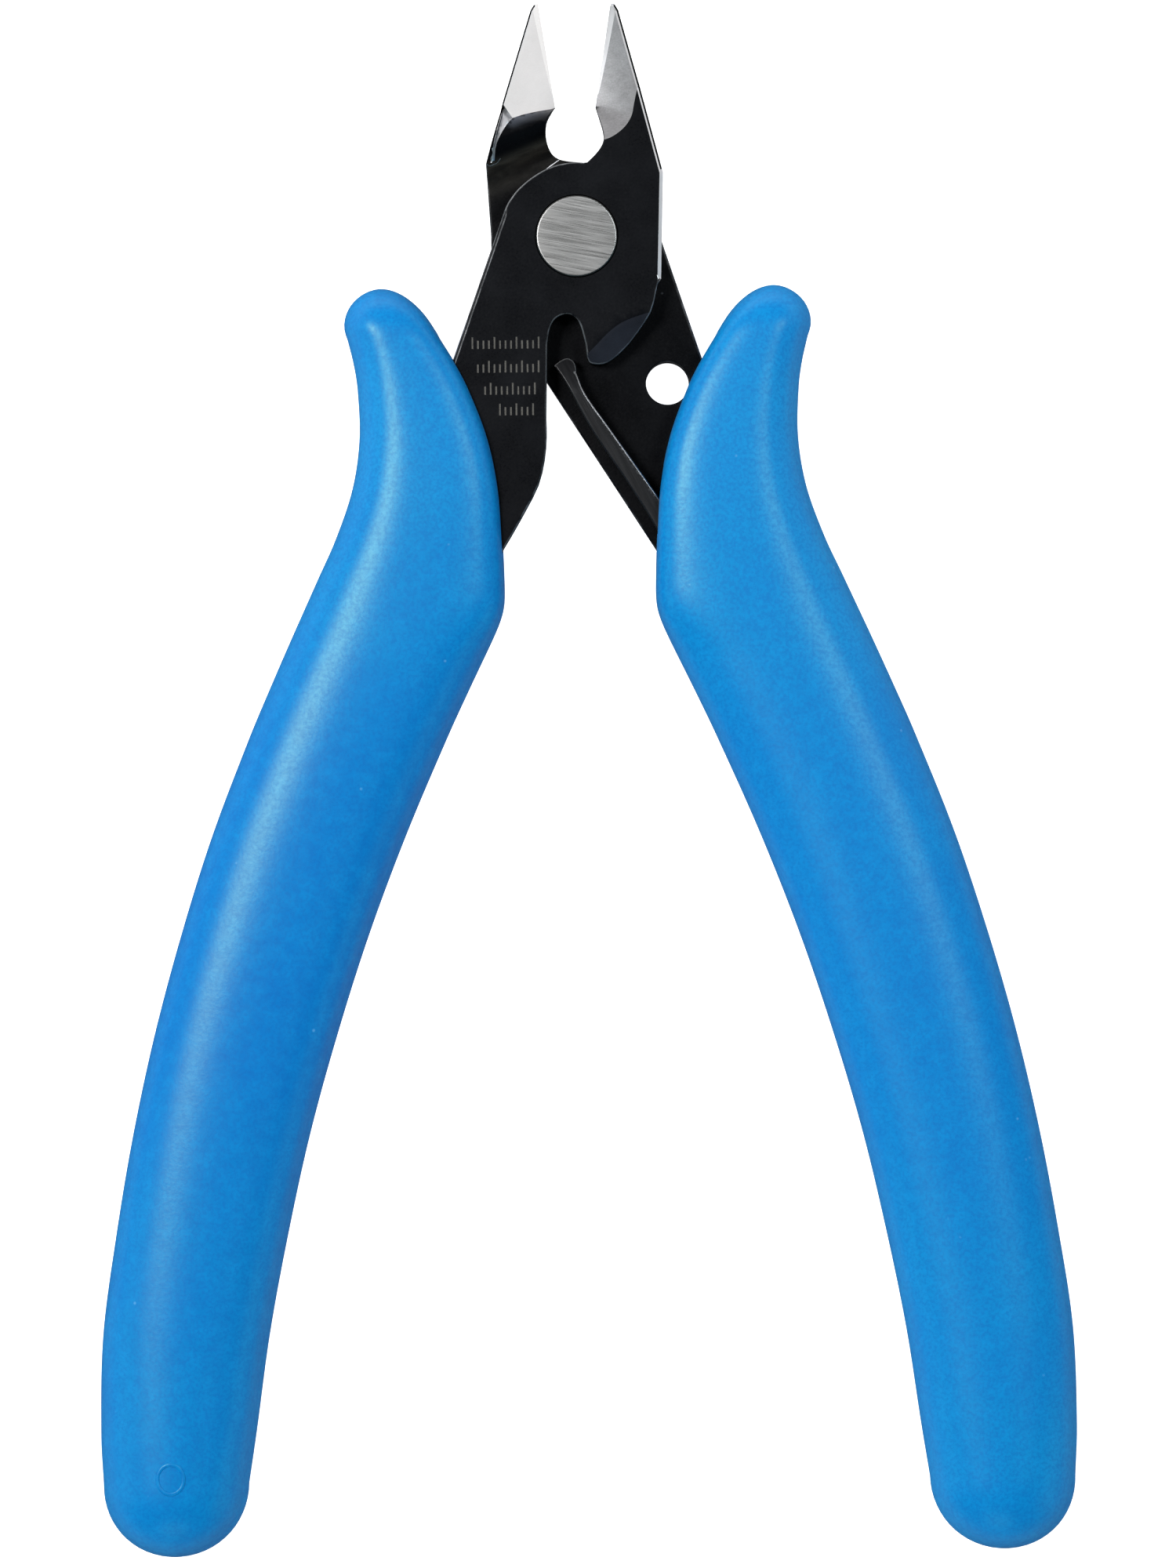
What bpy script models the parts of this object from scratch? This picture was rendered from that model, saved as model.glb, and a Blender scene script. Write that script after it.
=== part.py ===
"""Sprue nippers: two lapped, stamped steel halves on a riveted pivot, with a
bent-wire return spring and two moulded PVC grips.

Frame: the tool lies flat on its grips.  X runs across the handles, +Y points
along the tool from the handle ends to the cutting tips, +Z is up, out of the
front face.  Z = 0 is the surface the grips rest on.
Outlines are written in millimetres about the pivot and scaled once, where a
mesh is made.
"""
import math

import bpy
import bmesh
import numpy as np
from mathutils import Vector

for old in list(bpy.data.objects):
    bpy.data.objects.remove(old, do_unlink=True)

# ------------------------------------------------------------ dimensions (mm)
MM = 0.001
TIP_Y = 18.86            # cutting tips above the pivot
TAIL_Y = -105.30         # ends of the grips below the pivot
PIVOT_Y = -0.5 * (TIP_Y + TAIL_Y)   # pivot above the middle of the tool
GRIP_T = 9.6             # thickness of a grip over its flats
MID_Z = 0.5 * GRIP_T     # parting plane between the two steel halves
PLATE_T = 2.5            # stamped plate thickness
LAP = 0.03               # half the clearance between the lapped halves
JOGGLE = PLATE_T + 2 * LAP          # step that brings the rear jaw forward

HALF_ANGLE = 8.75        # each cutting edge, from the centre line, handles open
CLOSING = 17.3           # travel of the handles, degrees
EDGE_R0 = 10.57          # cutting edge starts at this radius
EDGE_R1 = 19.08          # and ends at this one
BEVEL_A = 34.0           # ground bevel above the flush face, degrees
EDGE_LAND = 0.06         # thickness left at the cutting edge

DISC_R = 6.10            # lapped disc round the pivot
JOG_TILT = 22.6          # the joggle runs across the jaw at this angle
JOG_D0 = 6.50            # joggle starts this far from the pivot
JOG_D1 = 9.75            # and is complete here

SHANK_D = 5.0            # rivet shank
BORE_D = 5.1             # its bore in both plates
HEAD_D = 6.5             # rivet head
SEAT_D = 6.64            # counterbore for the head
SEAT_DEPTH = 1.0
HEAD_PROUD = 0.15
HANG_HOLE = (7.16, -11.65, 3.45)    # x, y, diameter in the rear plate

SPRING_AXIS = (9.9, -30.0)          # the spring's root is hooked into the rear tang here
HOOK_D = 1.5             # bent-down root of the spring
HOOK_HOLE_D = 1.65       # its hole in the rear tang
SPRING_Z0 = 0.35         # spring above the parting plane
SPRING_T = 1.65
TANG_END = -92.0         # the steel ends here inside the grips
SLOT_GAP = 0.30          # clearance between a grip and what it holds


# ------------------------------------------------------------------- helpers
def smooth(points, per=6):
    """Points along a Catmull-Rom curve through the control points."""
    pts = [np.array(p, float) for p in points]
    ext = [2 * pts[0] - pts[1]] + pts + [2 * pts[-1] - pts[-2]]
    out = []
    for i in range(1, len(ext) - 2):
        a, b, c, d = ext[i - 1:i + 3]
        for k in range(per):
            t = k / per
            out.append(0.5 * (2 * b + (c - a) * t + (2 * a - 5 * b + 4 * c - d) * t ** 2
                              + (3 * b - a - 3 * c + d) * t ** 3))
    out.append(pts[-1])
    return [tuple(p) for p in out]


def ramp(table, v):
    """Cubic interpolation of a table of (v, value) rows, v increasing."""
    xs = [r[0] for r in table]
    ys = [r[1] for r in table]
    i = max(0, min(len(xs) - 2, int(np.searchsorted(xs, v)) - 1))
    h = xs[i + 1] - xs[i]
    t = min(1.0, max(0.0, (v - xs[i]) / h))

    def slope(j):
        lo, hi = max(0, j - 1), min(len(xs) - 1, j + 1)
        return (ys[hi] - ys[lo]) / (xs[hi] - xs[lo])
    m0, m1 = slope(i) * h, slope(i + 1) * h
    return ((2 * t ** 3 - 3 * t ** 2 + 1) * ys[i] + (t ** 3 - 2 * t ** 2 + t) * m0
            + (-2 * t ** 3 + 3 * t ** 2) * ys[i + 1] + (t ** 3 - t ** 2) * m1)


def arc(cx, cy, r, a0, a1, n):
    return [(cx + r * math.cos(math.radians(a0 + (a1 - a0) * k / n)),
             cy + r * math.sin(math.radians(a0 + (a1 - a0) * k / n))) for k in range(n + 1)]


def mirror(points):
    return [(-x, y) for x, y in points]


def polar(r, deg_from_y):
    a = math.radians(deg_from_y)
    return (r * math.sin(a), r * math.cos(a))


def ccw(outline):
    area = sum(x0 * y1 - x1 * y0 for (x0, y0), (x1, y1) in zip(outline, outline[1:] + outline[:1]))
    return outline if area > 0 else outline[::-1]


def grow(outline, d):
    """Outline moved outward by d, mitred, for a clearance slot."""
    pts = [np.array(p, float) for p in ccw(outline)]
    out = []
    for i, p in enumerate(pts):
        a = p - pts[i - 1]
        b = pts[(i + 1) % len(pts)] - p
        na = np.array([a[1], -a[0]]) / np.linalg.norm(a)
        nb = np.array([b[1], -b[0]]) / np.linalg.norm(b)
        n = na + nb
        n /= np.linalg.norm(n)
        out.append(tuple(p + n * d / max(0.5, float(n @ na))))
    return out


def material(name, rgb, rough, metal):
    m = bpy.data.materials.new(name)
    m.use_nodes = True
    b = m.node_tree.nodes["Principled BSDF"]
    b.inputs["Base Color"].default_value = (*rgb, 1.0)
    b.inputs["Roughness"].default_value = rough
    b.inputs["Metallic"].default_value = metal
    return m


def make_object(name, bm, mat, parent=None, axis=(0.0, 0.0)):
    """Object with its origin on its joint axis, from a mesh in mm about the pivot."""
    bmesh.ops.recalc_face_normals(bm, faces=bm.faces)
    me = bpy.data.meshes.new(name)
    shift = Vector((axis[0], axis[1], 0.0))
    for v in bm.verts:
        v.co = (v.co - shift) * MM
    bm.to_mesh(me)
    bm.free()
    ob = bpy.data.objects.new(name, me)
    bpy.context.scene.collection.objects.link(ob)
    if mat:
        me.materials.append(mat)
    if parent:
        ob.parent = parent
        px, py = parent["axis_mm"]
        ob.location = Vector(((axis[0] - px) * MM, (axis[1] - py) * MM, 0.0))
    else:
        ob.location = Vector((axis[0] * MM, (axis[1] + PIVOT_Y) * MM, MID_Z * MM))
    return ob


def axis_empty(name, axis):
    e = bpy.data.objects.new(name, None)
    e.empty_display_size = 0.004
    bpy.context.scene.collection.objects.link(e)
    e.location = Vector((axis[0] * MM, (axis[1] + PIVOT_Y) * MM, MID_Z * MM))
    e["axis_mm"] = axis
    return e


def prism(outline, z0, z1):
    """Closed plate between z0 and z1 (above the parting plane)."""
    bm = bmesh.new()
    f = bm.faces.new([bm.verts.new((x, y, z0)) for x, y in ccw(outline)])
    ext = bmesh.ops.extrude_face_region(bm, geom=[f])
    bmesh.ops.translate(bm, vec=(0, 0, z1 - z0),
                        verts=[g for g in ext["geom"] if isinstance(g, bmesh.types.BMVert)])
    return bm


def turned(profile, n):
    """Solid of revolution about Z from (r, z) rows; both ends closed."""
    bm = bmesh.new()
    rings = [[bm.verts.new((r * math.cos(2 * math.pi * k / n), r * math.sin(2 * math.pi * k / n), z))
              for k in range(n)] for r, z in profile]
    for a, b in zip(rings, rings[1:]):
        for k in range(n):
            bm.faces.new((a[k], a[(k + 1) % n], b[(k + 1) % n], b[k]))
    bm.faces.new(rings[0][::-1])
    bm.faces.new(rings[-1])
    return bm


def cutter(name, bm, at=(0.0, 0.0)):
    if at != (0.0, 0.0):
        bmesh.ops.translate(bm, vec=(at[0], at[1], 0), verts=bm.verts)
    ob = make_object(name, bm, None)
    ob.hide_render = True
    ob.display_type = 'WIRE'
    return ob


def cut(ob, tool):
    m = ob.modifiers.new(tool.name, 'BOOLEAN')
    m.operation = 'DIFFERENCE'
    m.solver = 'EXACT'
    m.object = tool


def half_spaces(size, planes):
    """Block with everything below each plane (point, normal) cut away."""
    bm = bmesh.new()
    bmesh.ops.create_cube(bm, size=size)
    bmesh.ops.translate(bm, vec=(0, 14, 0.5 * size - 0.4), verts=bm.verts)
    for co, no in planes:
        geom = bm.verts[:] + bm.edges[:] + bm.faces[:]
        r = bmesh.ops.bisect_plane(bm, geom=geom, dist=1e-6, plane_co=co, plane_no=no, clear_inner=True)
        edges = [g for g in r["geom_cut"] if isinstance(g, bmesh.types.BMEdge)]
        bmesh.ops.edgeloop_fill(bm, edges=edges)
    return bm


def round_shading(ob, angle=30.0):
    ob.data.shade_smooth()
    ob.data.set_sharp_from_angle(angle=math.radians(angle))


# ----------------------------------------------------------------- materials
black_steel = material("black_oxide_steel", (0.010, 0.010, 0.012), 0.38, 0.9)
ground_steel = material("brushed_steel", (0.46, 0.46, 0.45), 0.35, 1.0)
spring_steel = material("spring_steel", (0.022, 0.022, 0.024), 0.34, 0.9)
blue_pvc = material("blue_pvc", (0.012, 0.235, 0.67), 0.42, 0.0)

# ------------------------------------------------------------------ outlines
# Steel inside a handle: centre line of the tang (left handle), and its width.
TANG = smooth([(-12.3, -27.0), (-15.3, -33.0), (-18.9, -41.0), (-22.3, -49.0), (-25.1, -57.0),
               (-27.6, -65.5), (-29.7, -74.0), (-31.3, -83.0), (-32.2, TANG_END)], per=3)


def tang_side(sign):
    """One side of the tang, from the handle end up towards the pivot."""
    c = [np.array(p) for p in TANG]
    out = []
    for i, p in enumerate(c):
        t = c[min(i + 1, len(c) - 1)] - c[max(i - 1, 0)]
        t /= np.linalg.norm(t)
        half = 3.2 - 0.8 * i / (len(c) - 1) + 1.5 * math.exp(-(i / 2.2) ** 2)
        out.append(tuple(p + sign * half * np.array([-t[1], t[0]])))
    return out


TANG_OUT = tang_side(-1.0)      # towards the palm
TANG_IN = tang_side(1.0)        # towards the other handle
# Outer edge of the half, from the pivot disc to the tang (left handle).
SHOULDER = [(-5.76, 2.00), (-10.00, -9.85), (-12.20, -15.50), (-13.60, -20.50)]
# Inner edge of the front half below the spring notch.
FRONT_INNER = [(-6.60, -25.80), (-5.43, -23.80), (-4.28, -21.80), (-3.25, -19.80), (-2.73, -17.80),
               (-2.55, -15.90), (-2.57, -14.50), (-2.44, -8.50)]
NOTCH = smooth([(-2.44, -8.50), (-2.22, -7.35), (-1.75, -6.55), (-0.90, -6.20), (-0.20, -6.45),
                (0.22, -7.10), (0.63, -8.60)], per=3)
FRONT_HEEL = smooth([(1.10, -10.15), (2.37, -10.00), (3.96, -8.60), (5.50, -6.45), (6.12, -5.20),
                     (6.46, -3.10)], per=3)
JAW_OUTER = [(6.85, -2.68), (6.95, 5.00), (3.52, 18.25), (3.25, 18.72)]
MOUTH_R = 2.35                  # relief behind the cutting edges
MOUTH_C = (0.0, 8.20)
ROOT = polar(EDGE_R0, HALF_ANGLE)
TIP = polar(EDGE_R1, HALF_ANGLE)

front_outline = ccw(
    arc(0, 0, DISC_R, 86.0, 160.9, 12) + SHOULDER[1:] + TANG_OUT + TANG_IN[::-1]
    + FRONT_INNER + NOTCH[1:] + [(0.75, -9.70)] + FRONT_HEEL + JAW_OUTER + [TIP, ROOT]
    + [(2.02, 9.33), (2.29, 8.40), (2.33, 7.60), (2.16, 7.05), (1.66, 6.42), (0.90, 5.86)])

rear_outline = ccw(
    arc(0, 0, DISC_R, 98.0, 19.1, 12) + mirror(SHOULDER[1:]) + mirror(TANG_OUT) + mirror(TANG_IN[::-1])
    + [(6.60, -25.70), (-2.60, -11.30)]
    + [(-3.40, -10.20), (-4.20, -8.95), (-5.50, -6.45), (-6.12, -5.20), (-6.46, -3.10)]
    + mirror(JAW_OUTER[:1]) + [(-6.86, 0.30), (-6.96, 1.80), (-7.20, 6.00), (-3.52, 18.25), (-3.25, 18.72)]
    + mirror([TIP, ROOT]) + [(-1.85, 10.12), (-2.28, 9.30), (-2.39, 8.45), (-2.28, 7.56), (-1.95, 6.85),
                             (-1.50, 6.42)])

spring_left = smooth([(-1.90, -10.24), (-0.90, -11.80), (0.98, -15.30), (3.84, -19.60), (6.05, -23.20),
                      (7.75, -26.60), (8.95, -30.20)], per=3)
spring_right = smooth([(10.85, -29.80), (9.75, -26.40), (8.20, -23.60), (6.07, -20.50), (2.63, -15.55),
                       (0.59, -12.60), (-0.14, -10.80)], per=3)
spring_outline = ccw(spring_left + arc(9.9, -30.0, 0.95, 192.1, 372.0, 8)[1:-1] + spring_right
                     + [(-0.26, -9.95), (-0.88, -9.60)])

# ------------------------------------------------------------------- joints
handle_axis = axis_empty("handle_pivot_axis", (0.0, 0.0))
spring_axis = axis_empty("spring_flex_axis", SPRING_AXIS)
rear_frame = axis_empty("rear_half_frame", (0.0, 0.0))

# ------------------------------------------------------------- front half
outer_n = np.array(polar(1.0, 90.0 + HALF_ANGLE))       # plan normal of the right cutting edge
sa, ca = math.sin(math.radians(BEVEL_A)), math.cos(math.radians(BEVEL_A))

front_plate = make_object("front_plate", prism(front_outline, LAP, LAP + PLATE_T), black_steel, handle_axis)
# Ground bevel: rises from the cutting edge, and runs out across the jaw's root.
edge_co = Vector((ROOT[0], ROOT[1], LAP + EDGE_LAND))
plane_a = (edge_co, Vector((-sa * outer_n[0], -sa * outer_n[1], ca)))
run = np.array([2.80, 3.75]) / math.hypot(2.80, 3.75)
tipward = Vector((-run[1], run[0], 0.0))
b = math.radians(50.0)
plane_b = (Vector((2.25, 7.85, LAP + PLATE_T)), Vector((tipward.x * math.sin(b), tipward.y * math.sin(b), math.cos(b))))
above_root = (Vector((0.0, 7.30, 0.0)), Vector((0.0, 1.0, 0.0)))      # the grinding stops short of the disc
cut(front_plate, cutter("front_grind_cutter", half_spaces(40.0, [plane_a, plane_b, above_root])))
cut(front_plate, cutter("front_bore_cutter", turned([(BORE_D / 2, -4), (BORE_D / 2, 4)], 48)))
cut(front_plate, cutter("front_seat_cutter", turned([(SEAT_D / 2, LAP + PLATE_T - SEAT_DEPTH), (SEAT_D / 2, 5)], 48)))

# --------------------------------------------------------------- rear half
jn = Vector((-math.sin(math.radians(JOG_TILT)), math.cos(math.radians(JOG_TILT)), 0.0))
bm = prism(rear_outline, -LAP - PLATE_T, -LAP)
stations = [JOG_D0 + (JOG_D1 - JOG_D0) * k / 5 for k in range(6)]
for d in stations:
    bmesh.ops.bisect_plane(bm, geom=bm.verts[:] + bm.edges[:] + bm.faces[:], dist=1e-6, plane_co=jn * d, plane_no=jn)
for v in bm.verts:
    t = min(1.0, max(0.0, (v.co.dot(jn) - JOG_D0) / (JOG_D1 - JOG_D0)))
    v.co.z += JOGGLE * t * t * (3.0 - 2.0 * t)
rear_plate = make_object("rear_plate", bm, black_steel, rear_frame)
left_n = np.array([-outer_n[0], outer_n[1]])
edge_l = Vector((-ROOT[0], ROOT[1], LAP + EDGE_LAND))
plane_a2 = (edge_l, Vector((-sa * left_n[0], -sa * left_n[1], ca)))


def ground_z(x, y):
    return edge_l.z + math.tan(math.radians(BEVEL_A)) * ((x - edge_l.x) * left_n[0] + (y - edge_l.y) * left_n[1])


p1 = Vector((-1.90, 10.40, ground_z(-1.90, 10.40)))
p2 = Vector((-4.95, 9.50, ground_z(-4.95, 9.50)))
along = p2 - p1
back = Vector((along.y, -along.x, 0.0)).normalized()
if back.y > 0:
    back = -back
up_slope = Vector((back.x, back.y, 2.0))
nb = along.cross(up_slope)
if nb.z < 0:
    nb = -nb
cut(rear_plate, cutter("rear_grind_cutter", half_spaces(40.0, [plane_a2, (p1, nb.normalized()), above_root])))
cut(rear_plate, cutter("rear_bore_cutter", turned([(BORE_D / 2, -4), (BORE_D / 2, 4)], 48)))
cut(rear_plate, cutter("rear_seat_cutter", turned([(SEAT_D / 2, -5), (SEAT_D / 2, -LAP - PLATE_T + SEAT_DEPTH)], 48)))
cut(rear_plate, cutter("hook_hole_cutter", turned([(HOOK_HOLE_D / 2, -4), (HOOK_HOLE_D / 2, 4)], 20), SPRING_AXIS))
cut(rear_plate, cutter("hang_hole_cutter", turned([(HANG_HOLE[2] / 2, -4), (HANG_HOLE[2] / 2, 4)], 40), HANG_HOLE[:2]))

# -------------------------------------------------------------------- rivet
face = LAP + PLATE_T
seat = face - SEAT_DEPTH + 0.05
top = face + HEAD_PROUD
half = [(SHANK_D / 2, seat), (HEAD_D / 2, seat), (HEAD_D / 2, top - 0.12), (HEAD_D / 2 - 0.16, top)]
pivot_rivet = make_object("pivot_rivet", turned([(r, -z) for r, z in half[::-1]] + half, 48), ground_steel, rear_frame)
round_shading(pivot_rivet)

# ------------------------------------------------------------ return spring
return_spring = make_object("return_spring", prism(spring_outline, SPRING_Z0, SPRING_Z0 + SPRING_T),
                            spring_steel, spring_axis, SPRING_AXIS)
hook = cutter("spring_hook", turned([(HOOK_D / 2, -LAP - PLATE_T + 0.2), (HOOK_D / 2, SPRING_Z0 + 0.5 * SPRING_T)], 20),
              SPRING_AXIS)
bend = return_spring.modifiers.new("hook", 'BOOLEAN')
bend.operation = 'UNION'
bend.solver = 'EXACT'
bend.object = hook

# --------------------------------------------------------------------- grips
# Plan outline of the left grip as rows: y, palm side x, inner side x.
GRIP_ROWS = [
    (-99.4, -38.95, -27.23), (-95.4, -39.12, -26.60), (-87.5, -38.88, -25.45), (-79.5, -37.75, -23.89),
    (-71.5, -36.32, -22.05), (-63.5, -34.52, -19.76), (-55.6, -32.33, -17.16), (-47.7, -29.78, -14.12),
    (-39.8, -26.70, -10.68), (-35.8, -24.98, -8.80), (-31.8, -23.20, -6.88), (-30.2, -22.47, -6.25),
    (-29.0, -21.92, -6.03), (-27.0, -21.00, -6.03), (-24.0, -19.62, -6.15), (-20.0, -18.22, -6.44),
    (-16.0, -17.60, -7.25), (-12.0, -17.70, -8.75), (-10.0, -17.98, -9.77), (-8.0, -18.45, -10.98)]
PALM = [(y, xo) for y, xo, xi in GRIP_ROWS]
INNER = [(y, xi) for y, xo, xi in GRIP_ROWS]
DEPTH = [(-105.3, 4.55), (-99.0, 4.80), (-90.0, 4.98), (-70.0, 5.06), (-30.0, 5.06), (-18.0, 4.98),
         (-8.0, 4.60), (-3.9, 4.30)]      # half thickness before the flats
BULGE = 2.6                               # roundness of the section
TOP_CAP, TOP_Y = -8.0, -3.9               # the horn's rounded end
END_CAP = -99.4                           # the handle's rounded end


def grip_row(y):
    """Middle x, half width and half thickness of the left grip at y."""
    h = ramp(DEPTH, y)
    if y > TOP_CAP:
        u = (y - TOP_CAP) / (TOP_Y - TOP_CAP)
        k = max(0.0, 1.0 - u ** 1.85) ** (1 / 1.85)
        mid = ramp([(-8.0, -14.715), (-7.0, -15.13), (-6.0, -15.40), (-5.0, -15.59), (-3.9, -15.70)], y)
        return mid, 3.735 * k, h * max(0.0, 1.0 - u ** 2.4) ** (1 / 2.4)
    if y < END_CAP:
        u = (END_CAP - y) / (END_CAP - TAIL_Y)
        k = max(0.0, 1.0 - u ** 2.05) ** (1 / 2.05)
        return -33.09 - 0.02 * (END_CAP - y), 5.86 * k, h * max(0.0, 1.0 - u ** 2.4) ** (1 / 2.4)
    xo, xi = ramp(PALM, y), ramp(INNER, y)
    return 0.5 * (xo + xi), 0.5 * (xi - xo), h


def grip_mesh(side):
    cap = [0.30, 0.55, 0.75, 0.90, 0.97]
    ys = [TAIL_Y + 0.03] + [END_CAP + (TAIL_Y - END_CAP) * c for c in cap[::-1]] + [END_CAP, -95.4]
    ys += list(np.arange(-91.0, -34.0, 4.0)) + [-32.8, -31.2, -30.0, -29.0, -27.4, -25.0, -22.0, -19.0, -16.0, -13.5,
                                                -11.0, -9.4, -8.0]
    ys += [TOP_CAP + (TOP_Y - TOP_CAP) * c for c in cap] + [TOP_Y - 0.03]
    n = 24
    bm = bmesh.new()
    rings = []
    for y in ys:
        mid, w, h = grip_row(y)
        ring = []
        for k in range(n):
            a = 2 * math.pi * (k + 0.5) / n
            c, s = math.cos(a), math.sin(a)
            x = math.copysign(abs(c) ** (2 / BULGE), c) * w
            z = math.copysign(abs(s) ** (2 / BULGE), s) * h
            z = max(-GRIP_T / 2, min(GRIP_T / 2, z))
            ring.append(bm.verts.new((side * (mid + x), y, z)))
        rings.append(ring)
    for a, b in zip(rings, rings[1:]):
        for k in range(n):
            bm.faces.new((a[k], a[(k + 1) % n], b[(k + 1) % n], b[k]))
    bm.faces.new(rings[0][::-1])
    bm.faces.new(rings[-1])
    return bm


left_grip = make_object("left_grip", grip_mesh(1.0), blue_pvc, handle_axis)
round_shading(left_grip, 50.0)
cut(left_grip, cutter("left_slot_cutter", prism(grow(front_outline, SLOT_GAP), LAP - SLOT_GAP,
                                                LAP + PLATE_T + SLOT_GAP)))

right_grip = make_object("right_grip", grip_mesh(-1.0), blue_pvc, rear_frame)
round_shading(right_grip, 50.0)
cut(right_grip, cutter("right_slot_cutter", prism(grow(rear_outline, SLOT_GAP), -LAP - PLATE_T - SLOT_GAP,
                                                  -LAP + SLOT_GAP)))
# Pocket for the spring: from its resting side to where it swings when the handles close.
swing = math.radians(0.48 * CLOSING)


def swung(p):
    dx, dy = p[0] - SPRING_AXIS[0], p[1] - SPRING_AXIS[1]
    return (SPRING_AXIS[0] + dx * math.cos(swing) + dy * math.sin(swing),
            SPRING_AXIS[1] - dx * math.sin(swing) + dy * math.cos(swing))


pocket = [p for p in spring_left if p[1] < -17.0] + arc(9.9, -30.0, 1.0, 200.0, 355.0, 6)
pocket += [swung(p) for p in spring_right if -29.0 < p[1] < -17.0]
cut(right_grip, cutter("right_pocket_cutter", prism(grow(pocket, SLOT_GAP), -0.15, SPRING_Z0 + SPRING_T + SLOT_GAP)))
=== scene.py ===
"""Sprue nippers: the looks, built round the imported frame."""
import math

import bmesh  # noqa: E402
import bpy  # noqa: E402
import numpy as np  # noqa: E402
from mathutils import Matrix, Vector, geometry, noise  # noqa: E402

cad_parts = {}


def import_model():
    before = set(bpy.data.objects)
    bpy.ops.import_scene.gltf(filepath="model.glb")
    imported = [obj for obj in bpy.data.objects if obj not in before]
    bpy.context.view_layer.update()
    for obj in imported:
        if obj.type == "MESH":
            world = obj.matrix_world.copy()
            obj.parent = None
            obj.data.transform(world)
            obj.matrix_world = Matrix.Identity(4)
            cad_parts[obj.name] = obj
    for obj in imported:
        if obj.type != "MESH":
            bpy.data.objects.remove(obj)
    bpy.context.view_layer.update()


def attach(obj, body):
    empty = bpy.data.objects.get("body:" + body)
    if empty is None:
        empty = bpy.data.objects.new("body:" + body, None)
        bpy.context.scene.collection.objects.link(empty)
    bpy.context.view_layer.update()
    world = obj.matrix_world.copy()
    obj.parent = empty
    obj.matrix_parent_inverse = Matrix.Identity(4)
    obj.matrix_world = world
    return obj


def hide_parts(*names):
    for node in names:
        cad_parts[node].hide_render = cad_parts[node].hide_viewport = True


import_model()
scene = bpy.context.scene

# ---------------------------------------------------------------- dimensions
MM = 0.001
TIP_Y, TAIL_Y = 18.86, -105.30
PIVOT_Y = -0.5 * (TIP_Y + TAIL_Y)
END_Y = -105.26
GRIP_T = 9.6
MID_Z = 0.5 * GRIP_T
PLATE_T, LAP = 2.5, 0.03
JOGGLE = PLATE_T + 2 * LAP
HALF_ANGLE = 8.75
CLOSING = 17.3
EDGE_R0, EDGE_R1 = 10.57, 19.08
DISC_R = 6.10
JOG_TILT, JOG_D0, JOG_D1 = 22.6, 6.50, 9.75
SHANK_R, BORE_R, HEAD_R, SEAT_R = 2.5, 2.55, 3.25, 3.32
SEAT_DEPTH, HEAD_PROUD = 1.0, 0.15
HANG_HOLE = (7.16, -11.65, 1.725)
SPRING_AXIS = (9.9, -30.0)
SPRING_Z0, SPRING_T = 0.35, 1.65
HOOK_R, HOOK_HOLE_R = 0.75, 0.825
TOP = LAP + PLATE_T            # the front plate's face above the parting plane


def world(x, y, z):
    return ((x) * MM, (y + PIVOT_Y) * MM, (z + MID_Z) * MM)


# ------------------------------------------------------------- curve helpers
def smooth(points, per=6):
    pts = [np.array(p, float) for p in points]
    ext = [2 * pts[0] - pts[1]] + pts + [2 * pts[-1] - pts[-2]]
    out = []
    for i in range(1, len(ext) - 2):
        a, b, c, d = ext[i - 1:i + 3]
        for k in range(per):
            t = k / per
            out.append(0.5 * (2 * b + (c - a) * t + (2 * a - 5 * b + 4 * c - d) * t ** 2
                              + (3 * b - a - 3 * c + d) * t ** 3))
    out.append(pts[-1])
    return [tuple(p) for p in out]


def ramp(table, v):
    xs = [r[0] for r in table]
    ys = [r[1] for r in table]
    i = max(0, min(len(xs) - 2, int(np.searchsorted(xs, v)) - 1))
    h = xs[i + 1] - xs[i]
    t = min(1.0, max(0.0, (v - xs[i]) / h))

    def slope(j):
        lo, hi = max(0, j - 1), min(len(xs) - 1, j + 1)
        return (ys[hi] - ys[lo]) / (xs[hi] - xs[lo])
    m0, m1 = slope(i) * h, slope(i + 1) * h
    return ((2 * t ** 3 - 3 * t ** 2 + 1) * ys[i] + (t ** 3 - 2 * t ** 2 + t) * m0
            + (-2 * t ** 3 + 3 * t ** 2) * ys[i + 1] + (t ** 3 - t ** 2) * m1)


def arc(cx, cy, r, a0, a1, n):
    return [(cx + r * math.cos(math.radians(a0 + (a1 - a0) * k / n)),
             cy + r * math.sin(math.radians(a0 + (a1 - a0) * k / n))) for k in range(n + 1)]


def mirror(points):
    return [(-x, y) for x, y in points]


def polar(r, deg):
    a = math.radians(deg)
    return (r * math.sin(a), r * math.cos(a))


def resample(points, step):
    """Points about step apart along a polyline, keeping its corners."""
    out = [points[0]]
    for a, b in zip(points, points[1:]):
        n = max(1, int(round(math.dist(a, b) / step)))
        for k in range(1, n + 1):
            out.append((a[0] + (b[0] - a[0]) * k / n, a[1] + (b[1] - a[1]) * k / n))
    return out


def seg_distance(P, A, B):
    """Distance from each point in P to the nearest segment A-B."""
    best = np.full(len(P), 1e9)
    for k in range(0, len(A), 64):
        a, b = A[k:k + 64], B[k:k + 64]
        e = b - a
        L = np.maximum((e * e).sum(1), 1e-18)
        d = P[:, None, :] - a[None]
        t = np.clip((d * e[None]).sum(2) / L[None], 0, 1)
        q = d - t[..., None] * e[None]
        best = np.minimum(best, np.sqrt((q * q).sum(2)).min(1))
    return best


def line_distance(P, pts):
    p = np.array(pts, float)
    return seg_distance(P, p[:-1], p[1:])


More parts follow.
